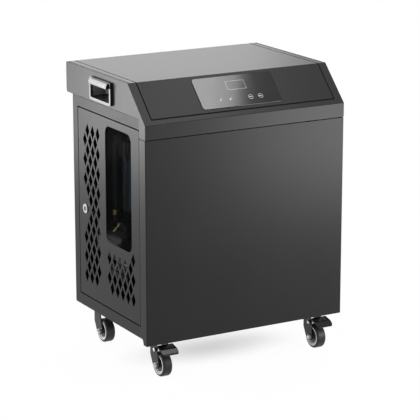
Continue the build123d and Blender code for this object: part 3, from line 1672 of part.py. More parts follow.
# Fan: five curved blades on a hub, with the shaft that runs in the motor
fan_middle_y = (shroud_front_y + condenser_front_y) / 2
fan_hub_rear = fan_middle_y + fan_hub_length / 2
shaft_end_y = shroud_front_y - motor_bore_depth + running_gap
half_chord = fan_blade_chord / 2
with BuildPart() as fan_blades:
    for blade in range(fan_blade_count):
        turn = blade * 360 / fan_blade_count
        outward = Vector(sin(radians(turn)), 0, cos(radians(turn)))
        blade_x = Vector(cos(radians(turn)), 0, -sin(radians(turn)))
        blade_plane = Plane(
            origin=Vector(condenser_middle_x, fan_middle_y, exhaust_z) + outward * fan_hub_radius / 2,
            x_dir=blade_x * cos(radians(fan_blade_pitch)) + Vector(0, sin(radians(fan_blade_pitch)), 0),
            z_dir=outward,
        )
        with BuildSketch(blade_plane):
            with BuildLine():
                outer = ThreePointArc((-half_chord, 0), (0, fan_blade_sag), (half_chord, 0))
                inner = ThreePointArc(
                    (-half_chord, -fan_blade_thickness),
                    (0, fan_blade_sag - fan_blade_thickness),
                    (half_chord, -fan_blade_thickness),
                )
                Line(outer @ 0, inner @ 0)
                Line(outer @ 1, inner @ 1)
            make_face()
        extrude(amount=fan_radius)
    with BuildSketch(upright(condenser_front_y)):
        with Locations((condenser_middle_x, exhaust_z)):
            Circle(fan_radius)
    extrude(amount=shroud_depth, mode=Mode.INTERSECT)
    with BuildSketch(upright(fan_hub_rear)):
        with Locations((condenser_middle_x, exhaust_z)):
            Circle(fan_hub_radius)
    extrude(amount=fan_hub_length)
    with BuildSketch(upright(fan_hub_rear)):
        with Locations((condenser_middle_x, exhaust_z)):
            Circle(fan_shaft_radius)
    extrude(amount=fan_hub_rear - shaft_end_y)
save(fan_blades, "fan_blades")

# Refrigerant lines: discharge, suction and liquid line, the last with its filter drier
line_top_z = condenser_top + line_top_clearance
suction_port_z = compressor_middle_z + terminal_height
suction_turn_x = (barrel_x + compressor_x) / 2
liquid_port_z = pan_top + liquid_port_height
line_routes = [
    [
        (discharge_x, compressor_y, compressor_top + line_port_length),
        (discharge_x, compressor_y, line_top_z),
        (discharge_x, condenser_middle_y, line_top_z),
        (discharge_x, condenser_middle_y, condenser_top + line_port_length),
    ],
    [
        (barrel_x + line_reach, suction_y, suction_z),
        (suction_turn_x, suction_y, suction_z),
        (suction_turn_x, compressor_y, suction_z),
        (suction_turn_x, compressor_y, suction_port_z),
        (compressor_x - compressor_radius - line_port_length, compressor_y, suction_port_z),
    ],
    [
        (condenser_left - line_port_length, condenser_middle_y, liquid_port_z),
        (liquid_x, condenser_middle_y, liquid_port_z),
        (liquid_x, condenser_middle_y, liquid_z),
        (liquid_x, barrel_y + line_reach, liquid_z),
    ],
]
drier_bottom = (liquid_port_z + liquid_z - drier_length) / 2
with BuildPart() as refrigerant_lines:
    for points in line_routes:
        with BuildLine() as route:
            FilletPolyline(*points, radius=line_bend)
        with BuildSketch(Plane(origin=route.line @ 0, z_dir=route.line % 0)):
            Circle(line_radius)
            Circle(line_radius - line_wall, mode=Mode.SUBTRACT)
        sweep(path=route.line)
    with BuildSketch(level(drier_bottom)):
        with Locations((liquid_x, condenser_middle_y)):
            Circle(drier_radius)
    extrude(amount=drier_length)
    fillet(
        refrigerant_lines.edges().filter_by(GeomType.CIRCLE).filter_by(
            lambda edge: abs(edge.radius - drier_radius) < pin_clearance
        ),
        drier_radius / 2,
    )
save(refrigerant_lines, "refrigerant_lines")

# Electrical box: a closed housing with its lid, on the dry side of the partition
electric_middle_y = partition_front + electric_front_gap + electric_length / 2
electric_middle_z = pan_top + partition_height - electric_from_top - electric_height / 2
lid_x = partition_x + sheet + electric_depth
with BuildPart() as electrical_box:
    with BuildSketch(across(partition_x + sheet)):
        with Locations((electric_middle_y, electric_middle_z)):
            RectangleRounded(electric_length, electric_height, electric_corner)
    extrude(amount=electric_depth)
    with BuildSketch(across(lid_x)):
        with Locations((electric_middle_y, electric_middle_z)):
            RectangleRounded(
                electric_length + 2 * electric_lid_lap,
                electric_height + 2 * electric_lid_lap,
                electric_corner,
            )
    extrude(amount=electric_lid)
    with BuildSketch(level(electric_middle_z - electric_height / 2)):
        with Locations((partition_x + sheet + electric_depth / 2, electric_middle_y)):
            with GridLocations(0, electric_length / 2, 1, 2):
                Circle(hose_radius)
    extrude(amount=-port_length)
save(electrical_box, "electrical_box")
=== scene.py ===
# %% [markdown]
# # A wheeled water chiller cabinet
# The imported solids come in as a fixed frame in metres. This lesson gives them their finishes, adds the small
# fasteners and fittings that solids leave out, and sets up the floor, the lights and the camera.

# %% Load the frame
import math

import bmesh
import bpy
from mathutils import Matrix, Vector


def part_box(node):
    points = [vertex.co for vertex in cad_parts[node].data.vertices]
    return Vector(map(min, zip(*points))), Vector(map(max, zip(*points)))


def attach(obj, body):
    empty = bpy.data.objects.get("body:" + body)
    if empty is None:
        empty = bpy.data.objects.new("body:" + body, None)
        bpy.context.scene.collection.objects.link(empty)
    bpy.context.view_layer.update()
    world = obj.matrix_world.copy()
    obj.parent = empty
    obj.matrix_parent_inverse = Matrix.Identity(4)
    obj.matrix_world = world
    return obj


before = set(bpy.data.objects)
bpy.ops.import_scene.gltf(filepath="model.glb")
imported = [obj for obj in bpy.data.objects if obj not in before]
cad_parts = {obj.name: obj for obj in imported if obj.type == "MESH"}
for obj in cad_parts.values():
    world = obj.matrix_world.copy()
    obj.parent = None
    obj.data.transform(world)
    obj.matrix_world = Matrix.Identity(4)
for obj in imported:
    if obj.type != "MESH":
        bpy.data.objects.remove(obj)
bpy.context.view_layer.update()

# %% [markdown]
# ## Arithmetic on sockets
# A shader is easier to read as a formula than as a net of boxes. This small class holds one output socket
# and gives it the usual operators, so that an expression such as `1 - mask` adds its own Math node.

# %% A socket that can be added and multiplied
class Wire:
    """One output socket in a net of nodes. Arithmetic on it adds Math nodes."""

    def __init__(self, net, socket):
        self.net = net
        self.socket = socket

    def math(self, operation, *others):
        """Run one Math node on this socket and the others."""
        values = dict(enumerate((self,) + others))
        return self.net.node("ShaderNodeMath", {"operation": operation}, values)

    def second(self, operation, first):
        """Run one Math node with this socket as its second value."""
        return self.net.node("ShaderNodeMath", {"operation": operation}, {0: first, 1: self})

    def __add__(self, other):
        return self.math("ADD", other)

    def __radd__(self, other):
        return self.second("ADD", other)

    def __sub__(self, other):
        return self.math("SUBTRACT", other)

    def __rsub__(self, other):
        return self.second("SUBTRACT", other)

    def __mul__(self, other):
        return self.math("MULTIPLY", other)

    def __rmul__(self, other):
        return self.second("MULTIPLY", other)

    def __truediv__(self, other):
        return self.math("DIVIDE", other)

    def size(self):
        """The value without its sign."""
        return self.math("ABSOLUTE")

    def least(self, other):
        """The smaller of two values."""
        return self.math("MINIMUM", other)

    def most(self, other):
        """The larger of two values."""
        return self.math("MAXIMUM", other)

    def diagonal(self, other):
        """The length of a line that goes this far one way and that far square to it."""
        return (self * self + other * other).math("SQRT")

    def step(self, start, end):
        """Rise smoothly from 0 at start to 1 at end."""
        rise = {"Value": self, "From Min": start, "From Max": end, "To Min": 0.0, "To Max": 1.0}
        return self.net.node("ShaderNodeMapRange", {"interpolation_type": "SMOOTHSTEP"}, rise)


# %% [markdown]
# ## Nets and finishes
# A material and the light of the room are both nets of nodes, so one small class adds the nodes of either.
# Every surface here is one Principled shader. What is the same all over goes straight onto the shader's own
# sockets. What varies, such as cloudiness, roughness and a fine bump, is built with a few helpers that
# measure places in metres, so a 2 mm grain stays 2 mm on every piece.

# %% A net that adds nodes
class Net:
    """A tree of shader nodes, with one way to add any node."""

    def __init__(self, tree):
        self.tree = tree

    def node(self, kind, settings=None, inputs=None, output=0):
        """Add any node from its type, settings and socket values, and return one output."""
        made = self.tree.nodes.new(kind)
        for key, value in (settings or {}).items():
            setattr(made, key, value)
        for key, value in (inputs or {}).items():
            self.feed(made.inputs[key], value)
        return Wire(self, made.outputs[output])

    def feed(self, socket, value):
        """Link a wire to a socket, or write a plain value on it."""
        if isinstance(value, Wire):
            self.tree.links.new(value.socket, socket)
        else:
            socket.default_value = value


# %% Finishes made from one shader
class Finish(Net):
    """A material with one Principled shader and short ways to vary it."""

    def __init__(self, name, **constants):
        self.material = bpy.data.materials.new(name)
        self.material.use_nodes = True
        super().__init__(self.material.node_tree)
        self.shader = self.tree.nodes["Principled BSDF"]
        for words, value in constants.items():
            self.shader.inputs[words.replace("_", " ")].default_value = value
        self.place = self.node("ShaderNodeTexCoord", output="Object")

    def set(self, words, value):
        """Feed one of the shader's own sockets."""
        self.feed(self.shader.inputs[words], value)

    def cloud(self, size, detail=2.0, stretch=(1.0, 1.0, 1.0)):
        """Soft noise from 0 to 1 whose blobs are about this many metres across."""
        zoom = tuple(share / size for share in stretch)
        scaled = self.node("ShaderNodeVectorMath", {"operation": "MULTIPLY"}, {0: self.place, 1: zoom})
        return self.node("ShaderNodeTexNoise", None, {"Vector": scaled, "Scale": 1.0, "Detail": detail})

    def product(self, first, second):
        """The dot product of two vectors."""
        pair = {0: first, 1: second}
        return self.node("ShaderNodeVectorMath", {"operation": "DOT_PRODUCT"}, pair, output="Value")

    def along(self, direction):
        """How far a place lies along a direction, in metres."""
        return self.product(self.place, direction)

    def blend(self, mask, low, high):
        """Mix two colours by a mask. A Mix node's colours are its inputs 6 and 7 and its output 2."""
        low, high = [tone if isinstance(tone, Wire) else (*tone, 1.0) for tone in (low, high)]
        return self.node("ShaderNodeMix", {"data_type": "RGBA"}, {0: mask, 6: low, 7: high}, output=2)

    def edges(self, width):
        """A mask that is 1 on sharp edges and falls to 0 within a width in metres."""
        soft = self.node("ShaderNodeBevel", {"samples": 4}, {"Radius": width})
        plain = self.node("ShaderNodeNewGeometry", output="Normal")
        return (1.0 - self.product(soft, plain)).step(0.02, 0.25)

    def facing(self, direction, start=0.5, end=0.8):
        """A mask that is 1 where the surface looks along a direction."""
        plain = self.node("ShaderNodeNewGeometry", output="Normal")
        return self.product(plain, direction).step(start, end)

    def bump(self, height, depth):
        """Raise the surface by a height mask, depth in metres."""
        raised = {"Height": height, "Distance": depth, "Strength": 1.0}
        self.set("Normal", self.node("ShaderNodeBump", None, raised))


# %% Dress whole nodes
def dress(finish, *names):
    """Give a finish to whole nodes of the frame."""
    for name in names:
        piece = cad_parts[name]
        for slot in piece.material_slots:
            slot.material = finish.material


# %% [markdown]
# ## Powder coat
# The cabinet is folded steel with a black satin powder coat. Powder melts into a very fine orange peel, so
# the coat is nearly black, its roughness drifts a little, and a shallow bump breaks up long reflections.
# Handling polishes and thins the coat on the folds, which shows as slightly paler edges. Sheets that are
# sprayed one by one never shine quite alike, so some get their own index of refraction.

# %% Powder coat for the cabinet
satin_rough = 0.36
thinned = (0.16, 0.16, 0.17)


def powder_coat(name, dark=(0.011, 0.011, 0.0115), pale=(0.017, 0.017, 0.018), rough=satin_rough, ior=1.24):
    """A satin coat between two near blacks, with orange peel and paler folds."""
    coat = Finish(name, IOR=ior)
    drift = coat.cloud(0.18)
    dust = coat.cloud(0.012, detail=4.0)
    worn = coat.edges(0.0012)
    colour = coat.blend(drift * 0.6 + dust * 0.4, dark, pale)
    coat.colour = coat.blend(worn * dust * 0.35, colour, thinned)
    coat.set("Base Color", coat.colour)
    coat.set("Roughness", rough + (drift - 0.5) * 0.06 + (dust - 0.5) * 0.05)
    coat.bump(coat.cloud(0.0011, detail=1.0), 0.00002)
    return coat


cabinet_coat = powder_coat("cabinet_powder_coat")
frame_coat = powder_coat("frame_powder_coat", ior=1.21)
door_coat = powder_coat("door_powder_coat", ior=1.222)
inner_coat = powder_coat("inner_powder_coat", (0.016, 0.016, 0.017), (0.026, 0.026, 0.028), rough=0.5)
dress(cabinet_coat, "front_panel", "right_side_panel", "rear_panel")
dress(frame_coat, "left_side_frame")
dress(door_coat, "service_door")
dress(inner_coat, "base_pan", "partition")
print("powder coats:", cabinet_coat.material.name, door_coat.material.name, inner_coat.material.name)

# %% [markdown]
# ## Joints in the hood
# The hood's side cheeks meet its top along a fold, where a fine dark line is drawn. The cover lies in the hood
# with a narrow gap, and the shade in that gap is painted as a fine dark line too. The first is a line at a
# fixed distance from the middle of the cabinet, the second follows the cover's own sharp edges.

# %% Lines from a distance
hood_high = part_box("hood")[1]
cover_low, cover_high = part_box("top_cover")
fold_in, fold_half = 0.0034, 0.0009
gap_out, gap_half = 0.0003, 0.0011


def thin_line(distance, half):
    """A soft-sided line, twice this half wide, from the distance to its middle."""
    return 1.0 - distance.step(half * 0.7, half * 1.3)


def cover_gap_shade(coat):
    """A line of painted shade along the outline of the cover, which is open at the rear."""
    over_side = coat.along((1.0, 0.0, 0.0)).size() - (cover_high[0] + gap_out)
    over_foot = (cover_low[1] - gap_out) - coat.along((0.0, 1.0, 0.0))
    upward = coat.facing((0.0, 0.0, 1.0), 0.4, 0.6)
    return thin_line(over_side.most(over_foot).size(), gap_half) * upward


print("gap beside the cover, in mm from the middle:", round(1000 * (cover_high[0] + gap_out), 1))

# %% Dark lines and painted gap shade on the hood and the cover
line_and_shade_black = (0.002, 0.002, 0.002)
hood_coat = powder_coat("hood_powder_coat", ior=1.262)
from_fold = (hood_coat.along((1.0, 0.0, 0.0)).size() - (hood_high[0] - fold_in)).size()
on_top = hood_coat.facing((0.0, 0.0, 1.0), 0.8, 0.95)
hood_fold_and_shade_lines = (thin_line(from_fold, fold_half) * on_top).most(cover_gap_shade(hood_coat))
cover_coat = powder_coat("cover_powder_coat", ior=1.25)
cover_shade_lines = cover_coat.edges(0.001).most(cover_gap_shade(cover_coat))
# The fold line and the painted shade in the cover's gap are near black and rougher.
for coat, lines, node in ((hood_coat, hood_fold_and_shade_lines, "hood"), (cover_coat, cover_shade_lines, "top_cover")):
    coat.set("Base Color", coat.blend(lines, coat.colour, line_and_shade_black))
    coat.set("Roughness", satin_rough + lines * 0.6)
    dress(coat, node)
print("lines drawn round a cover this wide, in mm:", round(2000 * cover_high[0]))

# %% [markdown]
# ## Touch glass
# The control panel is one sheet of glass printed black on its back, with a small display window and four
# touch icons. The print is worked out in the plane of the slope: `across` runs over the width and `up` runs
# up the slope, both in millimetres. Rings, dots and bars are plain distance formulas.

# %% Shapes to print on the slope
glass_low, glass_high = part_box("control_glass")
slope = Vector((0.0, math.sqrt(0.5), math.sqrt(0.5)))
glass_foot = Vector((0.0, glass_low[1], glass_low[2])).dot(slope)
glass = Finish("touch_glass", IOR=1.38)
across = glass.along((1000.0, 0.0, 0.0))
up = glass.along(tuple(slope * 1000.0)) - (glass_foot * 1000.0)


def ring(x, y, radius, half_line):
    """A thin circle."""
    from_line = ((across - x).diagonal(up - y) - radius).size()
    return 1.0 - from_line.step(half_line * 0.6, half_line * 1.4)


def dot(x, y, radius):
    """A filled disc."""
    return 1.0 - (across - x).diagonal(up - y).step(radius * 0.85, radius * 1.15)


def block(x, y, half_width, half_height, soft=0.2):
    """A filled rectangle."""
    beyond = ((across - x).size() - half_width).most((up - y).size() - half_height)
    return 1.0 - beyond.step(-soft, soft)


print("foot of the glass along the slope:", round(glass_foot, 4), "m")

# %% Icons and display window
icon_rise = 20.5


def dotted_icon(x):
    """A dot in a faint ring that is open on one diagonal."""
    shown = ((across - x) + (up - icon_rise)).size().step(4.0, 6.0)
    return dot(x, icon_rise, 1.6).most(ring(x, icon_rise, 5.2, 0.35) * shown * 0.35)


def barred_icon(x):
    """A ring round a bar with a small dot."""
    bar = block(x - 0.5, icon_rise, 3.6, 0.5).most(dot(x - 1.2, icon_rise + 0.4, 1.0))
    return (ring(x, icon_rise, 5.4, 0.4) * 0.75).most(bar)


def display(wider):
    """The rectangle of the display window, this much wider all round."""
    return block(1.5, 55.0, 22.4 + wider, 10.4 + wider)


# %% Touch glass with its print
icons = dotted_icon(-49).most(dotted_icon(-25)).most(barred_icon(26)).most(barred_icon(51))
outline = display(1.0) - display(0.2)
ink = glass.blend(display(0.0), (0.006, 0.006, 0.007), (0.012, 0.0125, 0.013))
ink = glass.blend(outline * 0.7, ink, (0.55, 0.56, 0.57))
glass.set("Base Color", glass.blend(icons, ink, (0.8, 0.81, 0.82)))
glass.set("Roughness", 0.07 + glass.cloud(0.03) * 0.05)
dress(glass, "control_glass")
print("glass print across", glass_high[0] - glass_low[0], "m")

# %% [markdown]
# ## Smoked window and clear bowl
# The door's window is a dark tinted sheet, and the filter bowl behind it is clear moulded plastic. Both let
# light through, so the tint comes from the base colour of a transmitting shader.

# %% See-through pieces
smoked = Finish("smoked_window", IOR=1.012, Transmission_Weight=0.992)
smoked.set("Base Color", smoked.blend(smoked.cloud(0.2), (0.20, 0.21, 0.215), (0.25, 0.26, 0.265)))
smoked.set("Roughness", 0.03 + smoked.cloud(0.05) * 0.04)
dress(smoked, "window_pane")

bowl = Finish("filter_bowl_plastic", IOR=1.49, Transmission_Weight=1.0)
bowl.set("Base Color", bowl.blend(bowl.cloud(0.05), (0.55, 0.68, 0.8), (0.6, 0.73, 0.84)))
bowl.set("Roughness", 0.08 + bowl.cloud(0.02) * 0.06)
dress(bowl, "filter_bowl")
print("see-through:", smoked.material.name, bowl.material.name)

# %% [markdown]
# ## Moulded plastic and rubber
# Moulded parts differ mostly in how glossy the tool was. The housings have a fine spark texture, foam is
# coarse, rubber is dull with a bloom, and the brake pedals are smooth. One recipe with a grain size covers
# them all.

# %% A moulded surface
def moulded(name, dark, pale, rough, grain, depth, ior=1.48):
    """A moulded surface with a soft colour drift, and a grain whose size and depth are in metres."""
    skin = Finish(name, IOR=ior)
    drift = skin.cloud(0.05)
    speck = skin.cloud(grain, detail=3.0)
    scuffed = tuple(min(1.0, tone * 1.5 + 0.04) for tone in pale)
    colour = skin.blend(drift * 0.7 + speck * 0.3, dark, pale)
    skin.set("Base Color", skin.blend(skin.edges(0.0008) * 0.3, colour, scuffed))
    skin.set("Roughness", rough + (speck - 0.5) * 0.12)
    skin.bump(speck, depth)
    return skin


# %% Plastics and rubbers
spark = moulded("housing_plastic", (0.014, 0.014, 0.015), (0.024, 0.024, 0.026), 0.55, 0.0012, 0.00005)
pump_skin = moulded("pump_plastic", (0.02, 0.021, 0.024), (0.032, 0.033, 0.038), 0.42, 0.0015, 0.00004)
hose_skin = moulded("hose_rubber", (0.010, 0.010, 0.010), (0.020, 0.020, 0.020), 0.5, 0.001, 0.00005)
foam = moulded("foam_insulation", (0.012, 0.012, 0.012), (0.028, 0.028, 0.028), 0.85, 0.002, 0.0003)
tread_dark, tread_pale = (0.010, 0.010, 0.0105), (0.018, 0.018, 0.018)
tread = moulded("wheel_rubber", tread_dark, tread_pale, 0.46, 0.0012, 0.00008, ior=1.34)
enamel_dark, enamel_pale = (0.003, 0.003, 0.003), (0.006, 0.006, 0.006)
pedal_skin = moulded("pedal_enamel", enamel_dark, enamel_pale, 0.22, 0.002, 0.00002, ior=1.3)
board = moulded("board_laminate", (0.01, 0.08, 0.03), (0.02, 0.12, 0.05), 0.4, 0.0015, 0.00003)
screen_skin = moulded("display_module", (0.02, 0.02, 0.022), (0.03, 0.03, 0.034), 0.3, 0.003, 0.00001)
fibre = moulded("filter_fibre", (0.68, 0.7, 0.72), (0.84, 0.85, 0.87), 0.9, 0.0008, 0.0002)
print("for the tyres:", tread.material.name, "and for the pedals:", pedal_skin.material.name)

# %% Moulded pieces
corners = ("front_left", "front_right", "rear_left", "rear_right")
moulded_pieces = {
    spark: ("control_housing", "electrical_box", "power_inlet", "fan_blades"),
    pump_skin: ("water_pump", "filter_head", "water_inlet", "water_outlet"),
    hose_skin: ("water_hoses", "window_gasket", "compressor_feet"),
    foam: ("heat_exchanger",),
    tread: tuple(f"{corner}_tyre" for corner in corners),
    pedal_skin: ("front_left_brake_pedal", "front_right_brake_pedal"),
    board: ("control_board",),
    screen_skin: ("display_module",),
    fibre: ("filter_cartridge",),
}
for finish, names in moulded_pieces.items():
    dress(finish, *names)
print("moulded finishes:", len(moulded_pieces))

# %% [markdown]
# ## Handle cups
# Each lifting handle is a black moulded cup. Its rim is plain gloss, and its pocket is metallised inside, so
# it picks up light from outside. That glow is also painted into the plating's colour, bright at the front and
# falling to dark grey towards the rear end. The rim starts at the cabinet's side, so the distance from the
# middle of the cabinet tells one from the other.

# %% Black rim and metallised pocket with a painted glow
side_from, side_to = 0.2484, 0.2492
glow_until, glow_gone_at = -0.03, 0.045
cup = Finish("handle_cup", IOR=1.45)
pocket = 1.0 - cup.along((1.0, 0.0, 0.0)).size().step(side_from, side_to)
haze = cup.cloud(0.006, detail=3.0)
rim_black = cup.blend(haze, (0.004, 0.004, 0.004), (0.007, 0.007, 0.007))
# Painted glow: the plating is bright at the front and falls to dark grey towards the rear.
painted_glow_mask = 1.0 - cup.along((0.0, 1.0, 0.0)).step(glow_until, glow_gone_at)
glow_plate = cup.blend(haze, (0.7, 0.7, 0.71), (0.85, 0.85, 0.86))
plating = cup.blend(painted_glow_mask, (0.16, 0.16, 0.162), glow_plate)
cup.set("Base Color", cup.blend(pocket, rim_black, plating))
cup.set("Metallic", pocket)
cup.set("Roughness", 0.3 + haze * 0.05 + pocket * 0.03)
cup.bump(haze, 0.00001)
dress(cup, "left_handle_cup", "right_handle_cup")

# %% [markdown]
# ## Wheel hubs
# A caster's hub has a pale rim that carries the tyre. Its recess round the bearing is darkened with painted
# shade. The two are told apart by the distance from the axle, which is the same for both front wheels and
# for both rear wheels.

# %% Wheel hubs with painted shade in the recess
hub = Finish("wheel_hub_plastic", IOR=1.48)


def from_axle(corner):
    """How far a place lies from the axle of one wheel, seen from its side."""
    low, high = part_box(f"{corner}_wheel_hub")
    off_y = hub.along((0.0, 1.0, 0.0)) - (low[1] + high[1]) / 2
    off_z = hub.along((0.0, 0.0, 1.0)) - (low[2] + high[2]) / 2
    return off_y.diagonal(off_z)


shade_until, rim_from = 0.0158, 0.0164
reach = from_axle("front_left").least(from_axle("rear_left"))
speckle = hub.cloud(0.0015, detail=3.0)
rim = hub.blend(speckle, (0.50, 0.50, 0.48), (0.62, 0.62, 0.60))
painted_recess_shade = hub.blend(speckle, (0.015, 0.015, 0.015), (0.03, 0.03, 0.03))
# Painted shade: the hub is dark within the recess round the bearing.
hub.set("Base Color", hub.blend(reach.step(shade_until, rim_from), painted_recess_shade, rim))
hub.set("Roughness", 0.35 + speckle * 0.12)
hub.bump(speckle, 0.00003)
dress(hub, *[f"{corner}_wheel_hub" for corner in corners])
print("hubs dressed:", len(corners))

# %% [markdown]
# ## Metals
# Bare metals are one recipe too: the colour of the metal, a roughness that follows faint streaks, and the
# dull film that zinc plating and copper take on. The streaks run along the piece, as drawing and
# pressing leave them.

# %% Plated, drawn and painted metals
def bare_metal(name, colour, film, rough, streak=(1.0, 1.0, 1.0)):
    """A metal with a faint film and streaks."""
    metal = Finish(name, Metallic=1.0)
    stain = metal.cloud(0.02, detail=3.0)
    lines = metal.cloud(0.0015, detail=2.0, stretch=streak)
    metal.colour = metal.blend(stain * 0.7, colour, film)
    metal.set("Base Color", metal.colour)
    metal.set("Roughness", rough + (lines - 0.5) * 0.14 + (stain - 0.5) * 0.1)
    metal.bump(lines, 0.000012)
    return metal


def paint_light_by_facing(metal, flat, shaded_wall):
    """Paint the outer flats a tone of their own as painted light, and paint the side walls dark as painted
    shade.
    """
    left = metal.facing((-0.97, 0.0, -0.24), 0.86, 0.94)
    right = metal.facing((0.97, 0.0, -0.24), 0.86, 0.94)
    walls_in_shade = metal.facing((0.0, -1.0, 0.0)).most(metal.facing((0.0, 1.0, 0.0)))
    metal.colour = metal.blend(walls_in_shade, metal.blend(left.most(right), metal.colour, flat), shaded_wall)
    metal.set("Base Color", metal.colour)


# %% Metal finishes
chrome_plate = ((0.5, 0.505, 0.51), (0.42, 0.425, 0.43), 0.2)
painted_wall_shade = (0.008, 0.008, 0.008)
satin = bare_metal("handle_satin_plate", (0.58, 0.585, 0.59), (0.52, 0.525, 0.53), 0.3)
chrome = bare_metal("lock_chrome", *chrome_plate)
zinc = bare_metal("zinc_plate", (0.66, 0.67, 0.68), (0.5, 0.51, 0.52), 0.34, streak=(1.0, 1.0, 0.15))
brass = bare_metal("ferrule_brass", (0.78, 0.58, 0.28), (0.6, 0.42, 0.2), 0.24)
copper = bare_metal("line_copper", (0.82, 0.46, 0.3), (0.5, 0.28, 0.18), 0.3)
fins = bare_metal("fin_aluminium", (0.74, 0.75, 0.76), (0.6, 0.61, 0.62), 0.36, streak=(1.0, 1.0, 0.02))
black_zinc = bare_metal("black_zinc_plate", (0.045, 0.045, 0.048), (0.025, 0.025, 0.027), 0.3)
shell_enamel = powder_coat("compressor_enamel", (0.008, 0.008, 0.008), (0.014, 0.014, 0.014), rough=0.28)
# The flat tones and dark walls below are painted light and shade, set by which way each face looks.
paint_light_by_facing(satin, (0.06, 0.06, 0.0615), (0.015, 0.015, 0.015))
paint_light_by_facing(chrome, (0.62, 0.62, 0.63), painted_wall_shade)
print("brushed finishes:", satin.material.name, chrome.material.name)

# %% Metal pieces
metal_pieces = {
    satin: ("left_handle_trim", "right_handle_trim"),
    chrome: ("lock_barrel",),
    zinc: ("lock_cam", "caster_plates", *[f"{corner}_axle" for corner in corners]),
    black_zinc: ("hinge_pins", *[f"{corner}_fork" for corner in corners]),
    brass: ("hose_ferrules",),
    copper: ("refrigerant_lines",),
    fins: ("condenser",),
    shell_enamel: ("compressor", "fan_shroud", "fan_motor"),
}
for finish, names in metal_pieces.items():
    dress(finish, *names)
print("metal finishes:", len(metal_pieces))

# %% [markdown]
# ## Key plug
# The lock's plug is plated like its bezel. The shade in its keyway is painted as a small dark upright bar on
# the plug, and it turns with it.

# %% Plug with its painted keyhole shade
keyhole_half_width, keyhole_half_height = 2.1, 4.8
plug = bare_metal("key_plug", *chrome_plate)
plug_low, plug_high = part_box("lock_plug")
off_y = (plug.along((0.0, 1000.0, 0.0)) - 500.0 * (plug_low[1] + plug_high[1])).size()
off_z = (plug.along((0.0, 0.0, 1000.0)) - 500.0 * (plug_low[2] + plug_high[2])).size()
painted_keyhole_shade = 1.0 - (off_y - keyhole_half_width).most(off_z - keyhole_half_height).step(-0.2, 0.2)
# The plug's flats get painted light and its walls painted shade, and its keyway is painted shade.
paint_light_by_facing(plug, (0.3, 0.3, 0.305), painted_wall_shade)
plug.set("Base Color", plug.blend(painted_keyhole_shade, plug.colour, (0.004, 0.004, 0.004)))
dress(plug, "lock_plug")
print("plug width in mm:", round(1000 * (plug_high[1] - plug_low[1]), 2))

# %% [markdown]
# ## Small turned pieces
# Bolts, nuts, rivets and threads are all a radius that changes along an axis, sometimes with flats or a
# helix. So each is made by turning a list of rings, and a small rule may change the radius with the angle.
# One template is then placed as often as it is needed, and the copies share one piece.

# %% Turn a template and place its copies
def turned(rings, steps, rule=None, tube=False):
    """Corners and faces of a turned piece from (radius, height) rings, in millimetres."""
    corners_made = []
    for radius, height in rings:
        for step in range(steps):
            angle = 2 * math.pi * step / steps
            size = rule(angle, radius, height) if rule else radius
            corners_made.append(Vector((size * math.cos(angle), size * math.sin(angle), height)) / 1000)
    joined = list(zip(range(len(rings)), range(1, len(rings))))
    if tube:
        joined.append((len(rings) - 1, 0))
    faces = []
    for near, far in joined:
        for step in range(steps):
            after = (step + 1) % steps
            faces.append((near * steps + step, near * steps + after, far * steps + after, far * steps + step))
    if not tube:
        faces.append(tuple(reversed(range(steps))))
        faces.append(tuple(range((len(rings) - 1) * steps, len(rings) * steps)))
    return corners_made, faces


crease_angle = math.radians(32)


def placed(name, template, seats, finish, body):
    """Copy a template to every seat, a place with the direction it faces, as one piece on a body."""
    corners_made, faces = template
    all_corners, all_faces = [], []
    for spot, facing in seats:
        turn = Vector(facing).to_track_quat("Z", "Y").to_matrix().to_4x4()
        seat = Matrix.Translation(spot) @ turn
        first = len(all_corners)
        all_corners += [seat @ corner for corner in corners_made]
        all_faces += [tuple(first + index for index in face) for face in faces]
    mesh = bpy.data.meshes.new(name)
    mesh.from_pydata(all_corners, [], all_faces)
    mesh.materials.append(finish.material)
    shape = bmesh.new()
    shape.from_mesh(mesh)
    bmesh.ops.recalc_face_normals(shape, faces=shape.faces)
    shape.to_mesh(mesh)
    shape.free()
    mesh.shade_smooth()
    mesh.set_sharp_from_angle(angle=crease_angle)
    piece = bpy.data.objects.new(name, mesh)
    bpy.context.collection.objects.link(piece)
    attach(piece, body)
    return piece


def hexagon(flat):
    """A rule that cuts six flats, each this far from the axis."""
    return lambda angle, radius, height: min(radius, flat / math.cos((angle % (math.pi / 3)) - math.pi / 6))


# %% [markdown]
# ## Fasteners
# Each caster plate hangs from four bolts with hexagon heads and washers. The brake pedals are riveted, with
# a domed rivet on the pivot and a smaller one on the cheek. Pan-head screws hold the rear panel and the
# mains inlet, and one thin nut holds the lock behind the door.

# %% Bolts under the caster plates
def middle(node):
    """The middle of a node's box."""
    low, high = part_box(node)
    return (Vector(low) + Vector(high)) / 2


washer_thick, plate_thick = 0.001, 0.0025
caster_trail, bolt_spread = 0.016, 0.022
head_rings = [(0.5, 0), (6.4, 0), (6.4, 1.0), (5.6, 1.0), (5.6, 3.6), (5.0, 4.2), (0.5, 4.2)]
bolt_head = turned(head_rings, 36, hexagon(5.0))
washer = turned([(0.5, 0), (6.6, 0), (6.6, 1.0), (0.5, 1.0)], 36)
plate_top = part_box("caster_plates")[1][2]
bolt_seats = []
for corner in corners:
    wheel = middle(f"{corner}_wheel_hub")
    swivel_y = wheel.y + caster_trail
    for step_x in (-bolt_spread, bolt_spread):
        for step_y in (-bolt_spread, bolt_spread):
            bolt_spot = Vector((wheel.x + step_x, swivel_y + step_y, plate_top - plate_thick))
            bolt_seats.append((bolt_spot, (0, 0, -1)))
placed("caster_bolt_washers", washer, bolt_seats, zinc, "cabinet")
head_seats = [(spot - Vector((0, 0, washer_thick)), facing) for spot, facing in bolt_seats]
placed("caster_bolt_heads", bolt_head, head_seats, zinc, "cabinet")
print("caster bolts:", len(bolt_seats))

